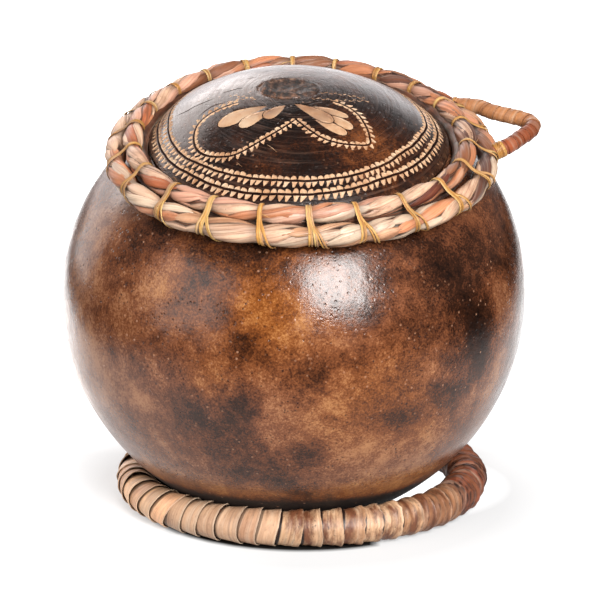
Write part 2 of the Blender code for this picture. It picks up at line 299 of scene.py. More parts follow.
def lid_material():
    palette = [(0.15, seen(16, 7, 4)), (0.42, seen(38, 17, 8)), (0.60, seen(76, 38, 18)),
               (0.95, seen(160, 92, 48))]
    skin, colour, roughness, normal = gourd_skin("lid_skin", palette, palette, 7.7, 0.50, 0.05)
    skin.shader.inputs["Specular Tint"].default_value = (1.0, 0.92, 0.89, 1.0)
    # Fine streaks run round the lid, as from scraping
    streaks = skin.noise(skin.attribute("around", "Vector"), 1.0, 3, 0.6)
    colour = skin.mix(skin.span(streaks, 0.56, 0.72, 0.0, 0.3), colour, seen(150, 104, 78))
    place = skin.place()
    scar = skin.attribute("scar")
    bark_noise = skin.noise(place, 340, 6, 0.75)
    bark = skin.ramp(bark_noise, [(0.40, seen(14, 8, 6)), (0.49, seen(50, 30, 21)),
                                  (0.58, seen(120, 80, 58)), (0.70, seen(222, 180, 150))])
    colour = skin.mix(scar, colour, bark)
    wear = skin.math("MULTIPLY", skin.attribute("worn"), skin.span(bark_noise, 0.42, 0.60))
    colour = skin.mix(wear, colour, seen(186, 128, 92))
    roughness = skin.math("ADD", roughness, skin.math("MULTIPLY", scar, 0.4), clamp=True)
    roughness = skin.math("ADD", roughness, skin.span(streaks, 0.40, 0.65, 0.0, 0.14), clamp=True)
    normal = skin.bump(streaks, 0.14 * MM, 0.7, normal)
    normal = skin.bump(skin.math("MULTIPLY", bark_noise, scar), 2.2 * MM, 0.9, normal)
    return skin.finish(colour, roughness, normal)


def peeled_material():
    peeled = Shader("peeled_rind", roughness=0.6, specular=0.35)
    place = peeled.place()
    stops = [(0.30, seen(206, 148, 100)), (0.48, seen(242, 192, 148)), (0.72, seen(255, 222, 186))]
    colour = peeled.ramp(peeled.noise(place, 150, 5, 0.65), stops)
    brown = peeled.noise(peeled.place(shift=(2, 5, 1)), 45, 3, 0.6)
    colour = peeled.mix(peeled.span(brown, 0.56, 0.70, 0.0, 0.5), colour, seen(170, 112, 76))
    browned = peeled.math("MULTIPLY", peeled.attribute("browned"), 0.75)
    colour = peeled.mix(browned, colour, seen(150, 96, 64))
    normal = peeled.bump(peeled.noise(place, 420, 3, 0.6), 0.12 * MM, 0.7)
    return peeled.finish(colour, None, normal)


def line_material():
    cut = Shader("scorched_line", roughness=0.8, specular=0.05)
    stops = [(0.3, seen(26, 12, 8)), (0.7, seen(66, 34, 20))]
    colour = cut.ramp(cut.noise(cut.place(), 300, 3, 0.6), stops)
    return cut.finish(colour)


def leaf_material(name, roughness, gloss, fibre, stain_colour, dark_colour):
    """Dry leaf strip: its tint, fibres along its length, stains, and painted shade and a painted edge
    highlight where it says so.
    """
    leaf = Shader(name, roughness=roughness, specular=gloss)
    tint = leaf.attribute("tint", "Color")
    stained = leaf.attribute("tint", "Alpha")
    shade = leaf.attribute("shade")
    pale_fibre_and_edge_highlight = seen(255, 232, 204)

    def stretched(along, across, shift, detail, roughness):
        """Noise drawn out along the strip, with so many repeats for each metre."""
        place = leaf.place(scale=(along, across, 1), shift=(*shift, 0), uv=True)
        return leaf.noise(place, 1.0, detail, roughness)

    veins = stretched(22, 1500, (0, 0), 4, 0.6)
    cracks = stretched(20, 620, (7, 2), 2, 0.5)
    bands = stretched(14, 330, (4, 9), 3, 0.55)
    patches = stretched(60, 130, (2, 5), 5, 0.65)
    specks = stretched(500, 900, (1, 3), 3, 0.6)
    lighter = leaf.mix(0.5, tint, pale_fibre_and_edge_highlight)
    darker = leaf.mix(0.5, tint, stain_colour)
    colour = leaf.mix(leaf.span(bands, 0.34, 0.50, 0.55, 0.0), tint, darker)
    colour = leaf.mix(leaf.span(bands, 0.52, 0.68, 0.0, 0.7), colour, lighter)
    colour = leaf.mix(leaf.span(veins, 0.52, 0.70, 0.0, fibre), colour, stain_colour)
    colour = leaf.mix(leaf.span(veins, 0.46, 0.30, 0.0, fibre * 0.7), colour, lighter)
    colour = leaf.mix(leaf.span(cracks, 0.60, 0.68, 0.0, fibre), colour, stain_colour)
    colour = leaf.mix(leaf.span(cracks, 0.40, 0.32, 0.0, fibre), colour, lighter)
    blotch = leaf.math("MULTIPLY", leaf.span(patches, 0.45, 0.60), stained)
    colour = leaf.mix(blotch, colour, stain_colour)
    spots = leaf.math("MULTIPLY", leaf.span(specks, 0.60, 0.70), stained)
    colour = leaf.mix(leaf.math("MULTIPLY", spots, 0.7), colour, dark_colour)
    # Painted shade where the shade mark is above nought, and a painted highlight where it is below
    colour = leaf.mix(leaf.span(shade, 0.0, 1.0), colour, dark_colour)
    colour = leaf.mix(leaf.span(shade, 0.0, -1.0), colour, pale_fibre_and_edge_highlight)
    normal = leaf.bump(veins, 0.18 * MM, 0.9)
    normal = leaf.bump(cracks, -0.30 * MM, 0.6, normal)
    normal = leaf.bump(patches, 0.35 * MM, 0.5, normal)
    return leaf.finish(colour, leaf.span(veins, 0.3, 0.7, roughness - 0.08, roughness + 0.12), normal)


def floor_material():
    """A pale studio floor that glows with painted light of its own: brighter behind the gourd and to its
    left, weaker close to the ring, and none far away. Inside the ring it is dark, as painted shadow under
    the gourd, but for the ring's right part."""
    floor = Shader("pale_floor", roughness=0.9, specular=0.1)
    split = floor.node("ShaderNodeSeparateXYZ", {0: floor.place()})
    right, back = split.outputs["X"], split.outputs["Y"]

    def distance_from(x, y):
        inputs = {0: floor.place(), 1: (x, y, 0.0)}
        return floor.node("ShaderNodeVectorMath", inputs, operation="DISTANCE").outputs["Value"]

    # Where it is light at all
    aside = floor.math("ABSOLUTE", floor.math("ADD", right, 0.02))
    light = floor.math("MULTIPLY", floor.span(back, -0.30, -0.14), floor.span(aside, 0.42, 0.27))
    # Dark inside the ring, as painted shadow under the gourd, but for its right part
    from_ring = distance_from(*FOOT_RING_CENTRE[:2])
    outside = floor.span(from_ring, 0.075, 0.079)
    outside = floor.math("MAXIMUM", outside, floor.span(right, 0.034, 0.039))
    light = floor.math("MULTIPLY", light, outside)
    # How strong its own light is
    strength = floor.span(back, 0.06, 0.24, 0.66, 1.7)
    strength = floor.math("MULTIPLY", strength, floor.span(right, -0.12, 0.0, 1.65, 1.0))
    strength = floor.math("MULTIPLY", strength, floor.span(from_ring, 0.095, 0.16, 0.55, 1.0))
    # Painted light where the floor shows through the gap at the ring's right
    opening = floor.span(distance_from(0.052, 0.014), 0.050, 0.020, 0.0, 0.9)
    strength = floor.math("ADD", strength, opening)
    floor.feed(floor.shader.inputs["Emission Color"], (1.0, 1.0, 1.0))
    floor.feed(floor.shader.inputs["Emission Strength"], floor.math("MULTIPLY", light, strength))
    return floor.finish(floor.mix(light, (0.012, 0.010, 0.009), (0.30, 0.30, 0.30)))


# Mesh builders


class Strips:
    """Collects thin closed strips and tubes in one mesh, with a tint and along-across marks."""

    def __init__(self):
        self.points = []
        self.faces = []
        self.marks = []
        self.tints = []
        self.shades = []
        self.count = 0
        self.random = random.Random(11)

    def keep(self, points, marks, tint, shade):
        self.shades.append((np.zeros(points.shape[:-1]) + shade).ravel())
        self.points.append(points.reshape(-1, 3))
        self.marks.append(marks.reshape(-1, 2))
        self.tints.append(np.tile(np.array(tint, float), (points.size // 3, 1)))
        first = self.count
        self.count += points.size // 3
        return first

    def lengths(self, grid):
        """Distance along the rows and across the columns, in metres, from a random start."""
        along = np.linalg.norm(np.diff(grid[:, grid.shape[1] // 2], axis=0), axis=1)
        across = np.linalg.norm(np.diff(grid[grid.shape[0] // 2], axis=0), axis=1)
        along = np.concatenate([[0], np.cumsum(along)]) + self.random.uniform(0, 5)
        across = np.concatenate([[0], np.cumsum(across)]) + self.random.uniform(0, 5)
        return np.stack(np.meshgrid(along, across, indexing="ij"), axis=-1)

    def sheet(self, top, facing, thickness, tint, loop=False, shade=0.0):
        """A strip whose upper side is top, rows by columns; loop joins its last row to its first."""
        rows, columns, _ = top.shape
        under = top - facing * thickness
        marks = self.lengths(top)
        first = self.keep(np.stack([top, under]), np.stack([marks, marks]), tint, shade)
        number = np.arange(rows * columns).reshape(rows, columns) + first
        after = np.roll(number, -1, axis=0) if loop else number[1:]
        here = number if loop else number[:-1]
        low = rows * columns
        upper = np.stack([here[:, :-1], here[:, 1:], after[:, 1:], after[:, :-1]], axis=-1).reshape(-1, 4)
        self.faces.append(upper)
        self.faces.append(upper[:, ::-1] + low)
        for column in (0, columns - 1):
            near, far = here[:, column], after[:, column]
            side = np.stack([near, far, far + low, near + low], axis=-1)
            self.faces.append(side if column == 0 else side[:, ::-1])
        if not loop:
            for row in (0, rows - 1):
                edge = number[row]
                side = np.stack([edge[:-1], edge[:-1] + low, edge[1:] + low, edge[1:]], axis=-1)
                self.faces.append(side if row == 0 else side[:, ::-1])

    def tube(self, rings, tint, loop=False):
        """A tube through rings of points, filled at its ends unless it is a loop."""
        rows, columns, _ = rings.shape
        first = self.keep(rings, self.lengths(rings), tint, 0.0)
        number = np.arange(rows * columns).reshape(rows, columns) + first
        here = number if loop else number[:-1]
        after = np.roll(number, -1, axis=0) if loop else number[1:]
        self.faces.append(np.stack([here, np.roll(here, -1, axis=1), np.roll(after, -1, axis=1), after],
                                   axis=-1).reshape(-1, 4))
        if not loop:
            for row in (0, rows - 1):
                ring = number[row] if row else number[row][::-1]
                for start in range(1, columns - 1, 2):
                    corners = [ring[0], ring[start], ring[start + 1], ring[min(start + 2, columns - 1)]]
                    self.faces.append(np.array([corners]))

    def build(self, name, material, leaning=True):
        points = np.concatenate(self.points)
        if leaning:
            points = to_world(points)
        faces = [tuple(dict.fromkeys(face)) for face in np.concatenate(self.faces).tolist()]
        mesh = bpy.data.meshes.new(name)
        mesh.from_pydata(points.tolist(), [], [face for face in faces if len(face) > 2])
        marks = np.concatenate(self.marks)
        corners = np.zeros(len(mesh.loops), dtype=np.int64)
        mesh.loops.foreach_get("vertex_index", corners)
        layer = mesh.uv_layers.new(name="strip")
        layer.data.foreach_set("uv", marks[corners].ravel())
        tint = mesh.attributes.new("tint", "FLOAT_COLOR", "POINT")
        tint.data.foreach_set("color", np.concatenate(self.tints).ravel())
        mark(mesh, "shade", np.concatenate(self.shades))
        close_mesh(mesh, 60)
        mesh.materials.append(material)
        return add_object(name, mesh)


def mark(mesh, name, values):
    """A value for each point of a mesh, which its material can look up by name."""
    layer = mesh.attributes.new(name, "FLOAT", "POINT")
    layer.data.foreach_set("value", values)


def close_mesh(mesh, sharp_degrees):
    """Turns every face outwards, and shades smooth all but the edges that are sharper."""
    shape = bmesh.new()
    shape.from_mesh(mesh)
    bmesh.ops.recalc_face_normals(shape, faces=shape.faces)
    shape.to_mesh(mesh)
    shape.free()
    mesh.shade_smooth()
    mesh.set_sharp_from_angle(angle=math.radians(sharp_degrees))


def add_object(name, data):
    made = bpy.data.objects.new(name, data)
    bpy.context.scene.collection.objects.link(made)
    return made


def declare(piece, node):
    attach(piece, "root")
    if node:
        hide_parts(node)


def rough(points, size, strength, seed):
    """Smooth random push for each point, the same every run."""
    flat = points.reshape(-1, 3)
    place = Vector((seed * 1.7, seed * -2.3, seed * 0.9))
    values = [noise.fractal(Vector(point) / size + place, 1.0, 2.0, 3) for point in flat]
    return np.array(values).reshape(points.shape[:-1]) * strength


# Gourd bowl


def shoulder_height(radius):
    """Height of the shoulder, cut down a little where the collar and the lid sit."""
    seat = SEAT_DEPTH * (1 - smoothstep((radius - SEAT_EDGE) / SEAT_FADE))
    return SHOULDER_RISE * np.sqrt(1 - (radius / GOURD_RADIUS) ** 2) - seat


def turned_grid(profile, segments):
    """Points of a profile of (radius, height) pairs, turned round the upright axis."""
    profile = np.array(profile)
    angles = full_turn(segments)
    x = profile[:, 0, None] * np.cos(angles)
    y = profile[:, 0, None] * np.sin(angles)
    z = np.repeat(profile[:, 1, None], segments, axis=1)
    return np.stack([x, y, z], axis=-1)


# Patches of the rind as seen from the front, in millimetres about the gourd's middle:
# right, up, size, and how much lighter or darker
PATCHES = [
    (-5, -13, 20, 0.12), (-22, -4, 7, 0.12), (-56, 3, 9, 0.07), (-36, -37, 10, 0.12),
    (-66, -48, 6, 0.09), (-1, -59, 15, 0.14), (-85, -47, 8, 0.08), (-57, -66, 8, 0.06),
    (13, -17, 12, 0.08), (33, -34, 15, 0.13), (20, -53, 17, 0.15), (63, -58, 11, 0.12),
    (86, -42, 9, 0.09), (80, -2, 5, 0.06), (59, -34, 6, 0.08), (25, -70, 12, 0.10),
    (55, -70, 10, 0.06), (-20, 10, 12, 0.05), (-70, 20, 12, -0.16), (-57, 29, 11, -0.12),
    (-78, 4, 11, -0.15), (-86, -8, 10, -0.12), (-47, -8, 8, -0.12), (-29, -10, 5, -0.12),
    (-19, -24, 8, -0.18), (-78, -27, 9, -0.07), (-37, -58, 15, -0.10), (-19, -50, 7, -0.12),
    (-65, -41, 9, -0.06), (-73, -53, 11, -0.10), (-42, 19, 8, -0.12), (-22, 16, 8, -0.10),
    (67, 8, 13, -0.20), (80, 20, 11, -0.14), (78, -8, 12, -0.20), (81, -21, 11, -0.18),
    (84, -32, 9, -0.13), (48, 20, 11, -0.08), (8, -39, 12, -0.12), (28, -30, 5, -0.10),
    (51, -38, 8, -0.07), (42, -56, 12, -0.12), (67, -46, 11, -0.12), (10, -71, 8, -0.12),
]
PATCH_STRENGTH = 1.45
# Patches of a more yellow brown, in the same way
OCHRE_PATCHES = [
    (-10, -8, 22, 0.9), (-52, -2, 12, 0.6), (-40, 14, 14, 0.5), (44, -46, 20, 0.6),
    (20, -54, 20, 0.4), (60, -56, 14, 0.4), (8, 24, 14, 0.5), (-36, -38, 10, 0.4),
]
# Broad changes all round the gourd, partly its own tone and partly painted light, chiefly a left side
# painted lighter in place of fill light: direction and height angle, size in degrees, amount
BROAD_PATCHES = [
    (-62, -8, 34, 0.29), (-56, 24, 24, 0.08), (-46, 14, 16, 0.08), (0, 14, 18, -0.07),
    (-2, -22, 20, -0.04), (26, -30, 13, 0.16), (58, -44, 16, 0.07), (40, -38, 18, 0.10),
    (50, -10, 24, 0.04), (130, 0, 30, -0.10), (180, -15, 34, 0.08), (-130, 10, 28, 0.06),
    (150, 40, 24, -0.08), (-160, -40, 26, 0.05),
]


def patch_on_front(away, right, up, size):
    """How much each point belongs to a round patch: 1 in its middle, fading with distance."""
    front = np.array([0, -math.cos(CAMERA_ELEVATION), math.sin(CAMERA_ELEVATION)])
    above = np.array([0, math.sin(CAMERA_ELEVATION), math.cos(CAMERA_ELEVATION)])
    right, up, size = right * MM / GOURD_RADIUS, up * MM / GOURD_RADIUS, size * MM / GOURD_RADIUS
    towards = front * math.sqrt(1 - right ** 2 - up ** 2) + above * up
    towards[0] += right
    return np.exp(-np.sum((away - towards) ** 2, axis=1) / size ** 2)


def make_bowl():
    segments, lower, upper, inside = 256, 96, 60, 44
    profile = []
    for angle in np.linspace(-math.pi / 2 + 0.002, 0, lower):
        profile.append((GOURD_RADIUS * math.cos(angle), GOURD_RADIUS * math.sin(angle)))
    rim_angle = math.asin(RIM_RADIUS / GOURD_RADIUS)
    for angle in np.linspace(math.pi / 2, rim_angle, upper)[1:]:
        radius = GOURD_RADIUS * math.sin(angle)
        profile.append((radius, float(shoulder_height(radius))))
    rim_height = profile[-1][1]
    profile.append(((RIM_RADIUS + MOUTH_RADIUS) / 2, rim_height))
    profile.append((MOUTH_RADIUS, rim_height))
    mouth_angle = math.acos(MOUTH_RADIUS / CAVITY_RADIUS)
    for angle in np.linspace(mouth_angle, -math.pi / 2 + 0.002, inside):
        profile.append((CAVITY_RADIUS * math.cos(angle), CAVITY_RISE * math.sin(angle)))
    grid = turned_grid(profile, segments)
    grid[..., 0] += MOUTH_SHIFT * smoothstep(grid[..., 2] / rim_height)
    # The rind is a little uneven, as grown
    outside = np.zeros(len(profile))
    outside[:lower + upper - 12] = 1.0
    swell = rough(grid, 70 * MM, 0.5 * MM, 2.0) * outside[:, None]
    grid += unit(grid) * swell[..., None]
    strips = Strips()
    strips.tube(grid, (1, 1, 1, 0))
    bowl = strips.build("gourd_bowl_skin", bowl_material())
    points = np.zeros(len(bowl.data.vertices) * 3)
    bowl.data.vertices.foreach_get("co", points)
    points = points.reshape(-1, 3)
    points[:, 2] = np.maximum(points[:, 2], 0.0)
    bowl.data.vertices.foreach_set("co", points.ravel())
    away = unit(points - np.array([0, 0, GOURD_CENTRE_HEIGHT]))
    tone_and_painted_light = np.full(len(points), 0.5)
    # Broad patches: the rind's own tone, and a left side painted lighter in place of fill light
    for side, height, size, amount in BROAD_PATCHES:
        side, height = math.radians(side), math.radians(height)
        level = math.cos(height)
        towards = np.array([math.sin(side) * level, -math.cos(side) * level, math.sin(height)])
        angle = np.degrees(np.arccos(np.clip(away @ towards, -1, 1)))
        tone_and_painted_light += amount * np.exp(-(angle / size) ** 2)
    for right, up, size, amount in PATCHES:
        tone_and_painted_light += PATCH_STRENGTH * amount * patch_on_front(away, right, up, size)
    # The underside is dull, and painted dark as shadow where it stands in its ring
    dull = smoothstep((34 * MM - points[:, 2]) / (16 * MM))
    tone_and_painted_light -= 0.95 * smoothstep((25 * MM - points[:, 2]) / (8 * MM))
    ochre = 0.12 + 0.75 * smoothstep((42 * MM - points[:, 2]) / (18 * MM))
    for right, up, size, amount in OCHRE_PATCHES:
        ochre += amount * patch_on_front(away, right, up, size)
    ochre += 0.5 * smoothstep((away[:, 1] - 0.1) / 0.4) * smoothstep((away[:, 0] + 0.6) / 1.2)
    mark(bowl.data, "tone_and_painted_light", tone_and_painted_light)
    mark(bowl.data, "ochre", np.clip(ochre, 0, 1))
    mark(bowl.data, "dull", dull)
    declare(bowl, "gourd_bowl")


# Lid with its engraving. Plan sizes are in millimetres about the lid's own centre.

# Each engraved band's distance from the middle, by direction in degrees from the right
INNER_BAND = [
    (-180, 58.0), (-165, 58.0), (-150, 57.6), (-136, 56.6), (-118, 55.6), (-107, 54.9),
    (-90, 54.4), (-68, 54.1), (-57, 54.0), (-45, 53.5), (-34, 52.6), (-26, 53.3),
    (-18, 53.9), (-9, 54.6), (1, 56.1), (30, 56.6), (85, 56.5), (168, 57.9),
]
OUTER_BAND = [
    (-176, 62.5), (-158, 62.3), (-143, 61.7), (-124, 61.5), (-115, 61.2), (-105, 60.6),
    (-96, 60.0), (-87, 59.7), (-70, 59.2), (-60, 58.8), (-50, 58.3), (-37, 59.1),
    (-21, 59.6), (-14, 60.0), (-7, 60.6), (5, 61.1), (65, 61.5), (140, 63.0), (173, 63.0),
]
INNER_PITCH = 2.85
OUTER_PITCH = 3.25
LOBE_PITCH = 2.7
LINE_HALF_WIDTH = 0.34
SCALLOP_HEIGHT = 1.62
WEDGE_HEIGHT = 2.2
SCALLOP_GAP = 0.42
WEDGE_GAP = 0.55
NOTCH_DEPTH = 0.35
PETAL_DEPTH = 0.3
LEFT_LOBE = [(-1.6, -23.0), (-8.3, -28.7), (-17.3, -34.5), (-26.5, -38.5), (-33.7, -37.6), (-40.4, -33.8),
             (-44.6, -27.9), (-45.9, -20.6), (-44.4, -13.6), (-39.3, -9.3), (-32.6, -7.3), (-26.5, -6.3)]
RIGHT_LOBE = [(-1.6, -22.9), (4.7, -29.4), (11.1, -33.6), (19.4, -34.6), (29.6, -31.8), (30.3, -26.8),
              (28.6, -20.5), (24.8, -13.3), (19.2, -9.0), (14.3, -7.4)]
# Each petal: root, tip and width
PETALS = [((-14.2, -12.5), (-35.6, -19.3), 8.4), ((-12.2, -15.5), (-26.2, -23.8), 6.8),
          ((-6.2, -12.8), (-15.4, -20.9), 6.4), ((-2.4, -11.8), (14.6, -23.0), 7.0),
          ((5.6, -13.3), (21.4, -17.7), 4.6), ((11.6, -18.5), (23.2, -24.8), 5.6),
          ((6.4, -22.7), (20.6, -29.0), 5.4)]
CHAINS = [[(8.6, -0.7), (19.7, 0.4), (29.0, 1.2)], [(5.0, -6.6), (17.4, -5.7), (30.5, 0.0)],
          [(-30.9, 1.4), (-24.3, -2.6), (-18.6, -5.9)], [(-37.7, -6.0), (-28.2, -4.2), (-20.0, -4.3)]]
CHAIN_PITCH = 2.0
CHAIN_DEPTH = 0.2
CRACKS = [[(-54.7, 1.9), (-49.9, 1.0), (-46.6, 1.8), (-41.9, 1.8), (-37.5, 2.3)],
          [(-44.3, -8.0), (-40.9, -5.5), (-37.4, -3.8), (-32.6, -4.3)],
          [(-38.6, 10.2), (-34.1, 9.1)], [(-34.5, 5.1), (-30.1, 5.7), (-25.3, 6.8)],
          [(-24.5, 15.9), (-18.7, 17.1)]]
SCRATCHES = [[(-14.5, -36.3), (-12.1, -38.3), (-9.3, -41.6)],
             [(-27.2, -42.2), (-25.6, -44.1), (-24.1, -46.0)]]
CRACK_HALF_WIDTH = 0.32
SCRATCH_HALF_WIDTH = 0.16
PETAL_LINE_HALF_WIDTH = 0.20
# Kinds of face on the lid, in the order of its materials
RIND, PALE_CUT, SCORCHED = 0, 1, 2
SCAR_CENTRE = (-4.5, 3.4)
SCAR_SIZE = (12.9, 9.8)
RIM_POINTS = 360


def band_curve(radii):
    """A closed curve round the lid, a little uneven as if cut by hand."""
    angles = np.linspace(-math.pi, math.pi, 720, endpoint=False)
    directions, distances = np.array(radii).T
    reach = np.interp(np.degrees(angles), directions, distances, period=360)
    for _ in range(80):
        reach = (np.roll(reach, 1) + 2 * reach + np.roll(reach, -1)) / 4
    reach += 0.10 * np.sin(9 * angles + 1) + 0.08 * np.sin(17 * angles + 2) + 0.05 * np.sin(41 * angles)
    return np.stack([reach * np.cos(angles), reach * np.sin(angles)], axis=-1)


def fullness(plan):
    """Height of the lid above a plain cap, in millimetres: it is fuller to the back left."""
    reach = np.hypot(plan[:, 0], plan[:, 1])
    angle = np.arctan2(plan[:, 1], plan[:, 0])
    amount = 1.5 + 1.2 * np.cos(angle - math.radians(165))
    within = smoothstep(reach / 45) * (1 - smoothstep((reach - 57) / 9.3))
    return amount * smoothstep((plan[:, 1] + 34) / 50) * within


def curve_through(points, closed=False, steps=14):
    """Catmull-Rom curve through plan points, as an array."""
    points = [np.array(point, float) for point in points]
    count = len(points)
    fine = []
    for index in range(count if closed else count - 1):
        if closed:
            before, start, end, after = (points[(index + k) % count] for k in (-1, 0, 1, 2))
        else:
            before, start = points[max(index - 1, 0)], points[index]
            end, after = points[index + 1], points[min(index + 2, count - 1)]
        second = 2 * before - 5 * start + 4 * end - after
        third = 3 * start - before - 3 * end + after
        for step in range(steps):
            t = step / steps
            fine.append(0.5 * (2 * start + (end - before) * t + second * t ** 2 + third * t ** 3))
    if not closed:
        fine.append(points[-1])
    return np.array(fine)


def spaced(curve, pitch, closed):
    """Places at an even pitch along a curve, each with the direction along it."""
    if closed:
        curve = np.vstack([curve, curve[:1]])
    lengths = curve_lengths(curve)
    count = int(round(lengths[-1] / pitch))
    wanted = (np.arange(count) + 0.5) * lengths[-1] / count
    places = along_curve(curve, lengths, wanted)
    ahead = along_curve(curve, lengths, wanted + 0.05 * pitch)
    return places, unit(ahead - places)


class Engraving:
    """Outlines cut into the lid, collected as points and faces for one flat triangulation."""

    def __init__(self):
        self.points = []
        self.depths = []
        self.faces = []
        self.kinds = []
        self.random = random.Random(5)

    def add_points(self, points, depth):
        first = len(self.points)
        self.points += [tuple(point) for point in points]
        self.depths += [depth] * len(points)
        return first

    def add_face(self, corners, kind):
        """Outlines go in counterclockwise, as the triangulation takes the left side as inside."""
        x, y = np.array([self.points[corner] for corner in corners]).T
        if np.sum(x * np.roll(y, -1) - y * np.roll(x, -1)) < 0:
            corners = corners[::-1]
        self.faces.append(corners)
        self.kinds.append(kind)

    def cut(self, outline, depth, floor_share=0.66):
        """A pale recess: its outline at the surface, and the same shape, smaller, at its depth."""
        outline = np.array(outline)
        middle = outline.mean(axis=0)
        first = self.add_points(outline, 0.0)
        self.add_face(list(range(first, first + len(outline))), PALE_CUT)
        self.add_points(middle + (outline - middle) * floor_share, depth)

    def notch(self, place, along, inward, pitch, scallop):
        """One tooth beside the line: a low scallop on its inner side, a slanted wedge outside."""
        wide = pitch * self.random.uniform(0.86, 1.03)
        skew = self.random.uniform(-0.09, 0.09) * pitch
        if scallop:
            tall = SCALLOP_HEIGHT * self.random.uniform(0.72, 1.14)
            peak = self.random.uniform(-0.28, 0.04)
            shape = [(-0.48, 0), (0.48, 0), (0.47, 0.38), (0.37, 0.70), (peak + 0.24, 0.97),
                     (peak, 1.0), (peak - 0.17, 0.88), (-0.46, 0.46)]
            side, gap = inward, SCALLOP_GAP
        else:
            tall = WEDGE_HEIGHT * self.random.uniform(0.82, 1.08)
            slant = self.random.uniform(0.10, 0.42)
            foot = self.random.uniform(0.07, 0.22)
            shape = [(-0.39, 0), (0.46, 0), (0.37 - slant * 0.5, 0.46), (foot + 0.04 - slant, 0.94),
                     (-slant, 1.0), (-slant - foot * 0.7, 0.92), (-0.34 - slant * 0.2, 0.42)]
            side, gap = -inward, WEDGE_GAP
        outline = []
        for index, (t, n) in enumerate(shape):
            shaky = 0.05 if index > 1 else 0.0
            t = (t + self.random.uniform(-shaky, shaky)) * wide + skew
            n = (n + self.random.uniform(-shaky, shaky)) * tall + gap
            outline.append(place + along * t + side * n)
        outline = np.array(outline)
        reach = np.hypot(outline[:, 0], outline[:, 1])
        outline *= np.minimum(1.0, 65.5 / reach)[:, None]
        self.cut(outline, NOTCH_DEPTH)

    def border(self, curve, closed, inner_side, pitch):
        """A dark line with a row of teeth on each side. inner_side is +1 if inside is to the left."""
        for scallop in (True, False):
            places, directions = spaced(curve, pitch * (1.0 if scallop else 1.03), closed)
            for place, along in zip(places, directions):
                inward = np.array([-along[1], along[0]]) * inner_side
                self.notch(place, along * inner_side, inward, pitch, scallop)
        self.line(curve, closed, LINE_HALF_WIDTH, SCORCHED)

    def line(self, curve, closed, half_width, kind):
        """A cut line of even width, with narrower ends where it is open."""
        dense, tangents = spaced(curve, 0.9, closed)
        left = np.stack([-tangents[:, 1], tangents[:, 0]], axis=-1)
        count = len(dense)
        half = np.full(count, half_width)
        if not closed:
            half *= np.minimum(1.0, 0.3 + np.minimum(np.arange(count), np.arange(count)[::-1]) / 4)
        outer = dense + left * half[:, None]
        inner = dense - left * half[:, None]
        self.add_points(dense, NOTCH_DEPTH * 0.8)
        first = self.add_points(outer, 0.0)
        second = self.add_points(inner, 0.0)
        for index in range(count if closed else count - 1):
            after = (index + 1) % count
            self.add_face([first + index, first + after, second + after, second + index], kind)

    def petal(self, root, tip, width):
        """Narrow at its root and round at its tip."""
        root, tip = np.array(root), np.array(tip)
        along = tip - root
        side = unit(np.array([-along[1], along[0]]))
        widest = 0.7
        rounding = widest + (1 - widest) * np.sin(np.linspace(0.2, 1, 8) * math.pi / 2)
        shares = np.concatenate([np.linspace(0.04, widest, 8), rounding])
        ends = np.maximum(0, (shares - widest) / (1 - widest))
        reach = 0.5 * width * np.sin(math.pi / 2 * np.minimum(shares, widest) / widest)
        reach *= np.sqrt(np.maximum(0, 1 - ends ** 2))
        reach *= 1 + 0.05 * np.sin(shares * 9 + width)
        middle = root + along * shares[:, None]
        outline = [root]
        outline += list(middle + side * reach[:, None])
        outline += list((middle - side * reach[:, None])[-2::-1])
        self.cut(outline, PETAL_DEPTH, 0.88)
        self.line(np.array(outline[6:-6]), False, PETAL_LINE_HALF_WIDTH, SCORCHED)

    def chain(self, points):
        """Small slanted cuts, on one side and the other of a curve by turns."""
        places, directions = spaced(curve_through(points), CHAIN_PITCH, False)
        for index, (place, along) in enumerate(zip(places, directions)):
            side = np.array([-along[1], along[0]]) * (1 if index % 2 else -1)
            shape = [(-0.9, -0.35), (0.0, 0.35), (0.95, 0.5), (0.1, 0.95), (-0.8, 0.3)]
            self.cut([place + along * t + side * n for t, n in shape], CHAIN_DEPTH)


def circle(radius, count):
    angles = full_turn(count)
    return np.stack([radius * np.cos(angles), radius * np.sin(angles)], axis=-1)


def scar_distance(points):
    """Distance from the stem scar's middle, with 1 at its edge."""
    return np.hypot(*((points - SCAR_CENTRE) / SCAR_SIZE).T)


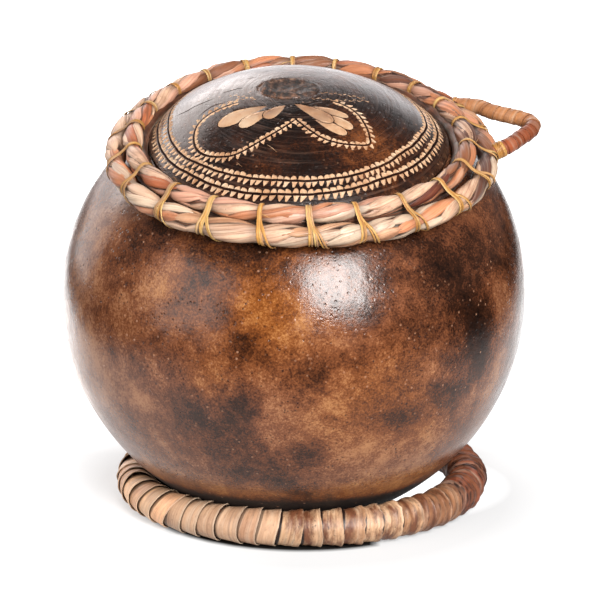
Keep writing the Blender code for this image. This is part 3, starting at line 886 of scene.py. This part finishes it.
def engraved_plan():
    """Flat triangulation of the lid's top with every engraved outline in it."""
    work = Engraving()
    work.border(band_curve(INNER_BAND), True, 1, INNER_PITCH)
    work.border(band_curve(OUTER_BAND), True, 1, OUTER_PITCH)
    work.border(curve_through(LEFT_LOBE), False, -1, LOBE_PITCH)
    work.border(curve_through(RIGHT_LOBE), False, 1, LOBE_PITCH)
    for root, tip, width in PETALS:
        work.petal(root, tip, width)
    for points in CHAINS:
        work.chain(points)
    for points in CRACKS:
        work.line(curve_through(points), False, CRACK_HALF_WIDTH, SCORCHED)
    for points in SCRATCHES:
        work.line(curve_through(points), False, SCRATCH_HALF_WIDTH, PALE_CUT)
    taken = np.array(work.points)
    rim = RIM_RADIUS / MM
    rim_first = work.add_points(circle(rim, RIM_POINTS), 0.0)
    edges = [(rim_first + k, rim_first + (k + 1) % RIM_POINTS) for k in range(RIM_POINTS)]
    # Plain points between the outlines, closer together on the scar
    spacing, fine = 1.5, 0.7
    plain = []
    for step, reach in ((spacing, 1.25), (fine, 0.45)):
        axis = np.arange(-rim, rim, step)
        x, y = np.meshgrid(axis, axis)
        x = x + (np.arange(len(axis)) % 2)[:, None] * step / 2
        points = np.stack([x.ravel(), y.ravel()], axis=-1)
        points = points[np.hypot(points[:, 0], points[:, 1]) < rim - 0.8]
        on_scar = scar_distance(points) < 1.15
        points = points[on_scar if step == fine else ~on_scar]
        gaps = np.array([np.min(np.abs(taken - point).sum(axis=1)) for point in points])
        plain.append(points[gaps > reach])
    work.add_points(np.vstack(plain), 0.0)
    flat = delaunay_2d_cdt([Vector(point) for point in work.points], edges, work.faces, 0, 1e-4, True)
    points, _, faces, from_points, _, from_faces = flat
    depths = [max((work.depths[k] for k in origin), default=0.0) for origin in from_points]
    kinds = [max((work.kinds[k] for k in origin), default=RIND) for origin in from_faces]
    return np.array([tuple(point) for point in points]), faces, np.array(depths), kinds


def lid_cap():
    """The ball that the lid's top is a part of: its radius, its middle, and where the lid ends."""
    under_rim = float(shoulder_height(RIM_RADIUS)) + LID_GAP
    edge_height = under_rim + LID_EDGE
    rise = LID_APEX - edge_height
    radius = (RIM_RADIUS ** 2 + rise ** 2) / (2 * rise)
    return radius, LID_APEX - radius, edge_height, under_rim


def scar_relief(plan, points):
    """The stem scar, a broken rim round a rough hollow: its rise, and where bark and wear show."""
    distance = scar_distance(plan)
    angle = np.arctan2(plan[:, 1] - SCAR_CENTRE[1], plan[:, 0] - SCAR_CENTRE[0])
    rim = np.exp(-((distance - 0.84) / 0.15) ** 2) * (0.75 + 0.45 * np.cos(angle - math.radians(200)))
    inside = smoothstep((1.06 - distance) / 0.12)
    near = distance < 1.2
    grit = np.zeros(len(points))
    grit[near] = rough(points[near], 3.2 * MM, 0.75, 4.0)
    moat = np.exp(-((distance - 1.04) / 0.05) ** 2) * (0.6 + 0.4 * np.cos(angle - math.radians(150)))
    rise = (inside * (rim * 1.7 + grit * 0.8 - 0.2) - 0.4 * moat) * MM
    bark = inside * (1 - 0.15 * smoothstep((distance - 0.9) / 0.1))
    worn = np.exp(-((distance - 1.0) / 0.12) ** 2) * (0.5 + 0.5 * np.cos(angle - math.pi))
    return rise, bark, worn


def lid_underside(plan, first):
    """The edge and the hollow underside: points, numbered on from first, and faces."""
    radius, centre, edge_height, under_rim = lid_cap()
    away = np.hypot(plan[:, 0] * MM, plan[:, 1] * MM)
    rim_order = [index for index in range(len(plan)) if abs(away[index] - RIM_RADIUS) < 1e-6]
    rim_order.sort(key=lambda index: math.atan2(plan[index][1], plan[index][0]))
    inner_radius = radius - LID_THICKNESS
    inner_edge = math.acos((edge_height - centre) / inner_radius)
    profile = [(RIM_RADIUS, under_rim + 0.2 * MM), (RIM_RADIUS - 0.3 * MM, under_rim),
               (MOUTH_RADIUS, under_rim)]
    for step in np.linspace(inner_edge, 0.004, 30):
        profile.append((inner_radius * math.sin(step), centre + inner_radius * math.cos(step)))
    rings = [rim_order]
    points = []
    for reach, level in profile:
        ring = []
        for index in rim_order:
            x, y = plan[index]
            ring.append(first + len(points))
            points.append((x * MM * reach / RIM_RADIUS, y * MM * reach / RIM_RADIUS, level))
        rings.append(ring)
    faces = []
    for upper, lower in zip(rings, rings[1:]):
        for index in range(len(rim_order)):
            after = (index + 1) % len(rim_order)
            faces.append((upper[index], lower[index], lower[after], upper[after]))
    faces.append(tuple(rings[-1]))
    return np.array(points), faces


def petal_browning(points):
    """How brown a petal is at each point: most by its root."""
    browned = np.zeros(len(points))
    for root, tip, _ in PETALS:
        span = np.hypot(tip[0] - root[0], tip[1] - root[1])
        gone = np.hypot(points[:, 0] / MM - root[0], points[:, 1] / MM - root[1])
        browned = np.maximum(browned, np.exp(-(gone / (0.34 * span)) ** 2))
    return browned


def make_lid():
    radius, centre, _, _ = lid_cap()
    plan, faces, depths, kinds = engraved_plan()
    flat = plan * MM
    away = np.hypot(flat[:, 0], flat[:, 1])
    height = centre + np.sqrt(np.maximum(radius ** 2 - away ** 2, 0)) + fullness(plan) * MM
    points = np.stack([flat[:, 0], flat[:, 1], height], axis=-1)
    outward = unit(points - np.array([0, 0, centre]))
    points -= outward * depths[:, None] * MM
    rise, bark, worn = scar_relief(plan, points)
    points[:, 2] += rise
    worn += np.exp(-((away / MM - 65.6) / 0.8) ** 2) * 0.5
    extra, under_faces = lid_underside(plan, len(points))
    faces = [tuple(face) for face in faces] + under_faces
    kinds = kinds + [RIND] * len(under_faces)
    every = np.vstack([points, extra])
    reach = np.maximum(np.hypot(every[:, 0], every[:, 1]), 1e-6)
    around = np.stack([every[:, 0] / reach * 1.6, every[:, 1] / reach * 1.6, reach * 900], axis=-1)
    browned = petal_browning(every)
    every[:, 0] += MOUTH_SHIFT
    # Warm patches at the front right and the front left, and a warmer, lighter back, its base painted
    # lighter there to add to the reflected sheen
    right, back = every[:, 0] / MM, every[:, 1] / MM
    tone_and_painted_light = 0.36 + 0.38 * np.exp(-((right - 34) ** 2 + (back + 34) ** 2) / 500)
    tone_and_painted_light += 0.22 * smoothstep((back - 2) / 24)
    tone_and_painted_light += 0.06 * np.exp(-((right + 12) ** 2 + (back + 46) ** 2) / 160)
    mesh = bpy.data.meshes.new("gourd_lid_engraved")
    mesh.from_pydata(to_world(every).tolist(), [], faces)
    mesh.polygons.foreach_set("material_index", kinds)
    underneath = np.zeros(len(extra))
    mark(mesh, "scar", np.concatenate([bark, underneath]))
    mark(mesh, "worn", np.concatenate([worn, underneath]))
    mark(mesh, "browned", browned)
    mark(mesh, "tone_and_painted_light", tone_and_painted_light)
    layer = mesh.attributes.new("around", "FLOAT_VECTOR", "POINT")
    layer.data.foreach_set("vector", around.ravel())
    for finish in (lid_material(), peeled_material(), line_material()):
        mesh.materials.append(finish)
    close_mesh(mesh, 32)
    declare(add_object("gourd_lid_engraved", mesh), "gourd_lid")


# Collar


def pinch(angle, depth=0.20):
    """Share of the full tube radius: drawn in at each stitch, full between two."""
    phase = (angle - FIRST_STITCH) * STITCHES
    return 1 - depth * (0.5 + 0.5 * np.cos(phase)) ** 2.2


def ring_directions(angle):
    """Straight out of a level ring, for an array of angles."""
    return np.stack([np.cos(angle), np.sin(angle), np.zeros_like(angle)], axis=-1)


def off_tube(outward, turn):
    """Straight off a ring's tube, turned up from straight out."""
    off = outward * np.cos(turn)[..., None]
    off[..., 2] += np.sin(turn)
    return off


def row_frame(row, angle):
    """Centre line of a collar row and the direction out of the ring, for an array of angles."""
    size = ROWS[row]
    outward = ring_directions(angle)
    radius = size["radius"] + THREE_CORNERED * np.cos(3 * (angle - CORNER_ANGLE))
    radius = radius + size["oval"] * np.cos(2 * angle)
    return outward * radius[..., None] + np.array([size["shift"], 0, size["height"]]), outward


def row_surface(row, angle, turn, reach):
    """Points round a row's centre line, and the direction straight off it."""
    centre, outward = row_frame(row, angle)
    off = off_tube(outward, turn)
    return centre + off * reach[..., None], off


# Colours of the collar's leaves, and those found on each side of each row. Each side is given by
# the direction, in degrees from the right, up to which it reaches.
CREAM, PALE, PEACH = seen(255, 222, 190), seen(255, 208, 172), seen(255, 192, 144)
PINK, SALMON, RUST = seen(255, 190, 158), seen(240, 156, 108), seen(206, 114, 70)
BROWN, MAROON, DUSK = seen(168, 106, 72), seen(104, 42, 32), seen(112, 76, 66)
COLLAR_LEAVES = {
    "inner": [(-150, (PINK, RUST, PALE, SALMON)), (-112, (PINK, RUST, PINK, SALMON)),
              (-66, (PALE, CREAM, PINK, SALMON)), (-42, (PEACH, MAROON, SALMON, PALE)),
              (-12, (PEACH, SALMON, PINK, BROWN)), (45, (SALMON, DUSK, BROWN, PALE)),
              (140, (SALMON, RUST, BROWN, PINK)), (181, (PINK, PALE, PINK, RUST))],
    "outer": [(-150, (PALE, CREAM, SALMON)), (-100, (CREAM, PALE, CREAM, PEACH)),
              (-58, (CREAM, PALE, CREAM, PEACH)), (-22, (PEACH, PALE, SALMON, CREAM)),
              (40, (SALMON, BROWN, DUSK, PEACH)), (140, (SALMON, RUST, PINK)),
              (181, (PALE, PINK, BROWN))],
}
LEAF_LANES = 5
LEAF_TWIST = 2 * math.pi * 5 / STITCHES


def leaf_tint(row, position, chance):
    """One of the colours found where a leaf lies, position being its place in stitches."""
    degrees = signed_degrees(FIRST_STITCH + STITCH_ANGLE * position)
    for limit, tints in COLLAR_LEAVES[row]:
        if degrees < limit:
            return chance.choice(tints)


def make_row(row, material):
    """Flat leaves twist round a dark core, one beside the other, from one tie to a later one."""
    tube = ROWS[row]["tube"]
    strips = Strips()
    chance = random.Random(31 if row == "inner" else 47)
    angle, turn = np.meshgrid(full_turn(352), full_turn(16), indexing="ij")
    points, _ = row_surface(row, angle, turn, (tube - 1.0 * MM) * pinch(angle))
    # The core is painted dark, so that the gaps between the leaves show as shade
    strips.tube(points, (*seen(52, 29, 20), 0.6), loop=True)
    if row == "inner":
        # A dark tube lies between this row and the gourd's rim: painted shade over the gap there
        centre, outward = row_frame(row, angle)
        bulge = outward * np.cos(turn)[..., None] * 4.2 * MM
        bulge[..., 2] += np.sin(turn) * 4.6 * MM
        dark_shade_filler = centre - outward * 2.6 * MM + bulge
        dark_shade_filler[..., 2] -= 4.6 * MM
        dark_shade_filler += unit(bulge) * rough(dark_shade_filler, 5 * MM, 0.5 * MM, 9.0)[..., None]
        strips.tube(dark_shade_filler, (*seen(48, 27, 18), 0.6), loop=True)
    for lane in range(LEAF_LANES):
        place = chance.uniform(-1.2, 0.0)
        while place < STITCHES - 0.8:
            long = chance.uniform(1.1, 2.9)
            begin, end = place - 0.16, place + long + 0.16
            place += long
            tint = leaf_tint(row, (begin + end) / 2, chance)
            # Leaves on the left and right sides are painted lighter, in place of the light that falls less
            # on them; the random spread is their own tone
            towards = math.cos(FIRST_STITCH + STITCH_ANGLE * (begin + end) / 2)
            light = chance.uniform(0.92, 1.16) * (1 + 0.34 * max(0, -towards) + 0.20 * max(0, towards))
            half = math.pi / LEAF_LANES * chance.uniform(1.08, 1.48)
            fold = chance.uniform(-0.6, 0.6)
            position, across = np.meshgrid(np.linspace(begin, end, int(12 * (end - begin)) + 2),
                                           np.linspace(-1, 1, 11), indexing="ij")
            angle = FIRST_STITCH + STITCH_ANGLE * position
            left = np.minimum(position - begin, end - position)
            width = half * (0.25 + 0.75 * smoothstep(left / 0.45))
            turn = (2 * math.pi * lane / LEAF_LANES + LEAF_TWIST * position
                    + 0.16 * np.sin(1.9 * position + lane * 2.1) + across * width)
            tie = (0.5 + 0.5 * np.cos(2 * math.pi * position)) ** 2.2
            rise = chance.uniform(0.05, 0.50) + chance.uniform(0.12, 0.34) * (1 - across ** 2) ** 0.8
            rise = rise + 0.26 * np.maximum(0, 1 - np.abs(across - fold) / 0.4)
            rise = rise - 0.40 * np.abs(across) ** 8
            rise = rise + 0.07 * np.cos(9 * (across - chance.uniform(-1, 1)))
            rise = rise * (1 - 0.55 * tie) - 0.35 * (1 - smoothstep(left / 0.25))
            reach = (tube - 0.70 * MM) * pinch(angle) + rise * MM
            points, off = row_surface(row, angle, turn, reach)
            points = points + off * rough(points, 7.0 * MM, 0.22 * MM, lane * 3.1 + begin)[..., None]
            shade = 0.95 * np.abs(across) ** 9 + 0.45 * tie ** 2 + 0.5 * (1 - smoothstep(left / 0.18))
            strips.sheet(points, off, LEAF_THICKNESS, lit(tint, light, chance.uniform(0.1, 0.6)),
                         shade=np.clip(shade, 0, 0.9))
    return strips.build("collar_leaves_" + row, material)


# Raffia

RAFFIA_TINTS = [seen(250, 188, 98), seen(238, 168, 78), seen(255, 206, 124), seen(212, 144, 68)]
VALLEY_ANGLE = math.radians(38.0)


def fibre(strips, path, off, wide, thick, tint, sides=6):
    """A flat fibre along a path, its flat side facing the way off points."""
    path, off = np.array(path), np.array(off)
    along = unit(np.gradient(path, axis=0))
    across = unit(np.cross(along, off))
    off = np.cross(across, along)
    turn = full_turn(sides)
    share = np.linspace(0, 1, len(path))
    ends = np.minimum(1.0, 0.25 + 3 * np.minimum(share, share[::-1]))
    wide = (np.ones(len(path)) * wide * ends)[:, None, None]
    thick = (np.ones(len(path)) * thick * ends)[:, None, None]
    rings = (path[:, None] + across[:, None] * np.cos(turn)[None, :, None] * wide
             + off[:, None] * np.sin(turn)[None, :, None] * thick)
    strips.tube(rings, tint)


def around_rows(angle, drift, lift, from_share=0.0, to_share=1.0, count=34):
    """Path over the inner row, into the valley and over the outer row, drifting along the ring."""
    inner, outward = row_frame("inner", np.array([angle]))
    outer, _ = row_frame("outer", np.array([angle]))
    gap = (outer - inner)[0]
    lean = math.atan2(gap[2], gap @ outward[0])
    below = lean - math.pi / 2
    sweep = math.pi * 1.5 - VALLEY_ANGLE
    places, facing = [], []
    for share in np.linspace(from_share, to_share, count):
        row = "inner" if share < 0.5 else "outer"
        part = share * 2 if row == "inner" else share * 2 - 1
        first = below if row == "inner" else lean + math.pi - VALLEY_ANGLE
        here = np.array([angle + drift * max(0.0, share - 0.5) * 2])
        reach = np.array([ROWS[row]["tube"] * float(pinch(here)[0]) + lift])
        point, off = row_surface(row, here, np.array([first - sweep * part]), reach)
        places.append(point[0])
        facing.append(off[0])
    places = np.array(places)
    # The strand is drawn straight across the bottom of the valley
    for _ in range(3):
        places[1:-1] = (places[:-2] + 2 * places[1:-1] + places[2:]) / 4
    return places, np.array(facing)


def make_lacing(material):
    strips = Strips()
    chance = random.Random(77)

    def tint():
        light = chance.uniform(0.85, 1.1)
        return lit(chance.choice(RAFFIA_TINTS), light, 0.2)

    for stitch in range(STITCHES):
        angle = FIRST_STITCH + stitch * STITCH_ANGLE + chance.uniform(-0.012, 0.012)
        slope = chance.uniform(-0.02, 0.03)
        # Three to four fibres side by side over both rows
        for index in range(chance.choice((3, 3, 4))):
            offset = (index - 1.2) * 0.0085 + chance.uniform(-0.002, 0.002)
            places, facing = around_rows(angle + offset, slope + chance.uniform(-0.02, 0.02),
                                         (0.32 + 0.12 * (index % 2)) * MM)
            fibre(strips, places, facing, chance.uniform(0.38, 0.58) * MM, 0.2 * MM, tint())
        # Two fibres slant over the outer row to the next hole
        reach = STITCH_ANGLE * chance.uniform(0.28, 0.46)
        for index in range(2):
            places, facing = around_rows(angle + index * 0.008, reach + chance.uniform(-0.02, 0.02),
                                         (0.46 + 0.08 * index) * MM, 0.42, 1.0, 26)
            fibre(strips, places, facing, chance.uniform(0.34, 0.50) * MM, 0.2 * MM, tint())
        # A short loose end here and there
        if chance.random() < 0.75:
            place, facing = around_rows(angle, 0.0, 0.4 * MM, chance.uniform(0.15, 0.8), 1.0, 3)
            start, off = place[0], facing[0]
            sideways = np.array([-math.sin(angle), math.cos(angle), 0]) * chance.choice((-1, 1))
            bend = chance.uniform(0.3, 0.9)
            long = chance.uniform(3, 8) * MM
            hair = []
            for share in np.linspace(0, 1, 9):
                lift = off * long * 0.45 * math.sin(share * 2.2) * bend
                drop = np.array([0, 0, -1]) * long * 0.3 * share ** 2
                hair.append(start + lift + sideways * long * share + drop)
            fibre(strips, hair, [off] * 9, 0.13 * MM, 0.09 * MM, tint(), 5)
    piece = strips.build("raffia_stitches", material)
    declare(piece, "raffia_lacing")


# Handle


def handle_curve():
    """The handle's centre line from the collar's back to its front, and the distance along it."""
    back_end = row_frame("outer", np.array([HANDLE_BACK_ANGLE]))[0][0]
    front_end = row_frame("outer", np.array([HANDLE_FRONT_ANGLE]))[0][0]
    points = [back_end]
    points += [np.array([x * MM, y * MM, HANDLE_HEIGHT]) for x, y in HANDLE_ROUTE]
    points.append(front_end)
    curve = curve_through(points, False, 24)
    return curve, curve_lengths(curve)


def make_handle(material):
    curve, lengths = handle_curve()
    strips = Strips()
    chance = random.Random(19)
    total = lengths[-1]
    up = np.array([0, 0, 1.0])

    def band(begin, end, lift_begin, lift_end, tint, wobble):
        """One strip wound once round the handle, each edge with its own lift off it."""
        columns = np.array([0, 0.06, 0.14, 0.3, 0.5, 0.7, 0.86, 0.95, 1.0])
        share, turn = np.meshgrid(columns, full_turn(30), indexing="xy")
        slant = 0.9 * MM * np.sin(turn + 0.6)
        where = np.clip(begin + (end - begin) * share + slant, 0, total)
        middle = along_curve(curve, lengths, where)
        ahead = along_curve(curve, lengths, np.clip(where + 1.2 * MM, 0, total))
        behind = along_curve(curve, lengths, np.clip(where - 1.2 * MM, 0, total))
        along = unit(ahead - behind)
        side = unit(np.cross(up, along))
        top = np.cross(along, side)
        off = side * np.cos(turn)[..., None] + top * np.sin(turn)[..., None]
        reach = HANDLE_TUBE - 0.45 * MM + lift_begin + (lift_end - lift_begin) * share ** 1.6
        reach = reach + 0.10 * MM * np.sin(math.pi * share)
        points = middle + off * reach[..., None]
        points = points + off * rough(points, 4 * MM, wobble, begin / MM)[..., None]
        shade = 0.85 * np.exp(-(share / 0.14) ** 2) + 0.30 * np.exp(-((1 - share) / 0.05) ** 2)
        strips.sheet(points, off, LEAF_THICKNESS, tint, loop=True, shade=shade)

    wrap = total / HANDLE_WRAPS
    for index in range(HANDLE_WRAPS):
        middle = (index + 0.5) / HANDLE_WRAPS
        # The back leg is paler and more orange than the front one
        front = float(smoothstep((middle - 0.50) / 0.12))
        pale, deep = np.array(seen(250, 170, 108)), np.array(seen(190, 98, 58))
        tint = (pale * (1 - front) + deep * front) * chance.uniform(0.85, 1.12)
        begin = index * wrap - 0.8 * MM
        end = (index + 1) * wrap + chance.uniform(0.2, 0.9) * MM
        band(begin, end, 0.05 * MM, 0.42 * MM, (*tint, 0.35), 0.12 * MM)
    # Raffia binds its front end to the collar, and a little of it shows at the back end
    for place, loops in ((0.05, 2), (0.925, 6)):
        for index in range(loops):
            begin = total * place + (index - loops / 2) * 0.75 * MM
            tint = lit(chance.choice(RAFFIA_TINTS), 1.0, 0.2)
            band(begin, begin + 0.8 * MM, 0.55 * MM, 0.60 * MM, tint, 0.15 * MM)
    piece = strips.build("handle_wraps", material)
    declare(piece, "handle_loop")


# Foot ring


def band_tint(angle, chance):
    """Colour, stain and wrinkles of a strip of the foot ring, by where it is on the ring; on the left,
    where the gourd shades it, the colour is painted lighter.
    """
    degrees = signed_degrees(angle)
    if -34 < degrees < 44:
        return chance.choice((seen(186, 98, 64), seen(160, 80, 50))), 0.8, 1.0
    if -58 < degrees <= -34:
        return chance.choice((seen(230, 172, 124), seen(198, 136, 94))), 1.0, 0.45
    if -98 < degrees <= -58:
        return chance.choice((seen(252, 200, 154), seen(230, 172, 126))), 1.0, 0.25
    # On the left the gourd shades the ring, so the colour there is painted lighter, in place of the light
    # it misses
    if 120 < degrees or degrees < -140:
        colour = chance.choice((seen(255, 202, 156), seen(246, 186, 140)))
        return [1.95 * value for value in colour], 0.35, 0.0
    return chance.choice((seen(255, 204, 162), seen(244, 186, 144), seen(255, 216, 180))), 0.4, 0.0


def make_foot_ring(material):
    """Wide leaf strips wound round a bundle, each with one edge standing a little off the next."""
    strips = Strips()
    chance = random.Random(8)

    def surface(angle, turn, lift):
        """Points on the ring, lifted off it by so many millimetres: it is drawn in at the front."""
        outward = ring_directions(angle)
        off = off_tube(outward, turn)
        front = np.maximum(0, -np.sin(angle))
        radius = FOOT_RING_RADIUS + (1.3 * np.maximum(0, -np.cos(angle)) ** 2 - 3.0 * front ** 1.5) * MM
        reach = FOOT_RING_TUBE + (lift - 0.4 * front) * MM
        points = FOOT_RING_CENTRE + outward * radius[..., None] + off * reach[..., None]
        points[..., 2] += 0.8 * MM * front ** 1.5
        return points, off

    angle, turn = np.meshgrid(full_turn(300), full_turn(24), indexing="ij")
    core, _ = surface(angle, turn, -1.35)
    core[..., 2] = np.maximum(core[..., 2], 0.6 * MM)
    strips.tube(core, (*seen(60, 32, 22), 0.8), loop=True)
    step = 2 * math.pi / FOOT_RING_WRAPS
    middles = [step * (wrap + chance.uniform(-0.10, 0.10)) for wrap in range(FOOT_RING_WRAPS)]
    widths = [step * chance.uniform(1.10, 1.20) for _ in range(FOOT_RING_WRAPS)]
    for wrap in range(FOOT_RING_WRAPS):
        middle, wide = middles[wrap], widths[wrap]
        edge_before = middles[wrap - 1] + 0.55 * widths[wrap - 1] - (2 * math.pi if wrap == 0 else 0)
        seam = min(max((edge_before - middle + 0.45 * wide) / wide, 0.02), 0.28)
        tint, stain, wrinkled = band_tint(middle, chance)
        inner = np.linspace(seam + 0.20, 0.90, 10 if wrinkled > 0.1 else 4)
        outer = [0, seam - 0.01, seam + 0.05, seam + 0.09, seam + 0.13]
        columns = np.concatenate([outer, inner, [0.955, 1.0]])
        light = chance.uniform(0.94, 1.12)
        slant = FOOT_RING_SLANT_FRONT + FOOT_RING_SLANT_LEFT * max(0, -math.cos(middle)) ** 2
        slant = slant * chance.uniform(0.3, 1.5)
        curl = chance.choice((0.0, 0.0, 0.5, 1.1))
        torn = 0.9 if -76 < signed_degrees(middle) < -60 else 0.15
        share, turn = np.meshgrid(columns, full_turn(60) - 1.4, indexing="xy")
        angle = middle + (share - 0.45) * wide + slant * np.sin(turn) + 0.006 * np.sin(2 * turn + wrap)
        edge = np.stack([turn * 9, turn * 0 + wrap * 3.3, turn * 0], axis=-1) * MM
        ragged = rough(edge, 2.2 * MM, 1.0, 5.0)
        angle = angle + ragged * torn * 0.012 * smoothstep((share - 0.5) / 0.5)
        standing = 1.0 + curl * np.exp(-((turn - 1.3) / 0.5) ** 2)
        lift = (1.10 + 0.3 * wrinkled) * standing * share ** 2.2
        lift = lift + 0.20 * np.sin(math.pi * share) - 0.90
        if wrinkled:
            clear = smoothstep((share - seam - 0.12) / 0.15)
            folds = np.sin(share * 17 + 1.3 * np.sin(turn * 2 + wrap) + wrap)
            lift = lift + 0.40 * clear * wrinkled * folds
        points, off = surface(angle, turn, lift)
        wobble = (0.18 + 0.5 * wrinkled) * MM
        points = points + off * rough(points, 7 * MM, wobble, wrap * 0.61)[..., None]
        points[..., 2] = np.maximum(points[..., 2], 0.45 * MM)
        # Painted shade in the crevice where the band comes out from under the one before, and in its
        # wrinkles; along the standing edge, a painted highlight on smooth bands and painted shade on
        # wrinkled ones
        dark = 0.98 if wrinkled > 0.1 else 0.7
        shade = dark * (1 - smoothstep((share - seam - 0.04) / 0.06))
        shade = shade - (0.5 - wrinkled) * smoothstep((share - 0.93) / 0.05)
        shade = shade + 0.4 * wrinkled * smoothstep(rough(points, 5 * MM, 1.0, wrap * 0.9) / 0.25)
        wrinkles = np.sin(share * 21 + 2.6 * np.sin(turn * 1.5 + wrap) + 1.9 * wrap)
        shade = shade + 0.9 * wrinkled * smoothstep((wrinkles - 0.72) / 0.2)
        strips.sheet(points, off, STRIP_THICKNESS, lit(tint, light, stain), loop=True, shade=shade)
    piece = strips.build("foot_ring_wraps", material, leaning=False)
    for vertex in piece.data.vertices:
        vertex.co.z = max(vertex.co.z, 0.0)
    declare(piece, "foot_ring")


# Stage


def make_floor():
    mesh = bpy.data.meshes.new("floor")
    size = 12.0
    corners = [(-size, -size, 0), (size, -size, 0), (size, size, 0), (-size, size, 0)]
    mesh.from_pydata(corners, [], [(0, 1, 2, 3)])
    mesh.materials.append(floor_material())
    floor = add_object("floor", mesh)
    floor.location.z = -0.3 * MM


def area_light(name, direction, distance, width, height, brightness, colour=(1, 1, 1)):
    """A rectangular panel that faces the gourd, with the brightness that a mirror would show."""
    light = bpy.data.lights.new(name, "AREA")
    light.shape = "RECTANGLE"
    light.size = width
    light.size_y = height
    light.energy = brightness * math.pi * width * height
    light.color = colour
    made = add_object(name, light)
    middle = Vector((0, 0, 0.1))
    made.location = middle + Vector(direction).normalized() * distance
    made.rotation_euler = (middle - made.location).to_track_quat("-Z", "Y").to_euler()
    made.visible_camera = False


def make_lights():
    world = bpy.data.worlds.new("studio")
    world.use_nodes = True
    background = world.node_tree.nodes["Background"]
    background.inputs["Color"].default_value = (1.0, 1.0, 1.0, 1.0)
    background.inputs["Strength"].default_value = 0.15
    bpy.context.scene.world = world
    area_light("window_key", (0.30, -0.83, 0.47), 1.25, 0.52, 0.75, 40)
    area_light("front_fill", (-0.9, -0.7, 0.35), 1.5, 1.0, 1.0, 4.2)
    area_light("left_panel", (-0.74, 0.60, 0.14), 1.5, 0.75, 1.0, 2.4)
    area_light("back_window", (-0.44, 0.72, 0.60), 1.6, 1.4, 0.85, 4.6, (1.0, 0.92, 0.89))
    area_light("backdrop", (-0.12, 2.0, 0.60), 2.1, 2.5, 1.2, 2.0, (1.0, 0.96, 0.97))


def make_camera():
    camera = add_object("camera", bpy.data.cameras.new("camera"))
    back = Vector((0, -math.cos(CAMERA_ELEVATION), math.sin(CAMERA_ELEVATION)))
    camera.location = CAMERA_TARGET + back * CAMERA_DISTANCE
    camera.rotation_euler = back.to_track_quat("Z", "Y").to_euler()
    camera.data.lens = CAMERA_LENS_MM
    camera.data.sensor_width = 36.0
    bpy.context.scene.camera = camera


def build():
    make_camera()
    make_bowl()
    make_lid()
    dark = seen(44, 22, 15)
    collar = leaf_material("collar_leaf", 0.48, 0.30, 0.60, seen(158, 92, 58), dark)
    for row in ("inner", "outer"):
        declare(make_row(row, collar), "collar_coil_" + row)
    make_lacing(leaf_material("raffia_fibre", 0.55, 0.3, 0.5, seen(170, 110, 50), dark))
    make_handle(leaf_material("handle_strip", 0.42, 0.28, 0.40, seen(136, 72, 46), dark))
    make_foot_ring(leaf_material("foot_leaf", 0.46, 0.30, 0.45, seen(140, 84, 54), dark))
    make_floor()
    make_lights()
    bpy.context.scene.view_settings.view_transform = "Standard"


build()
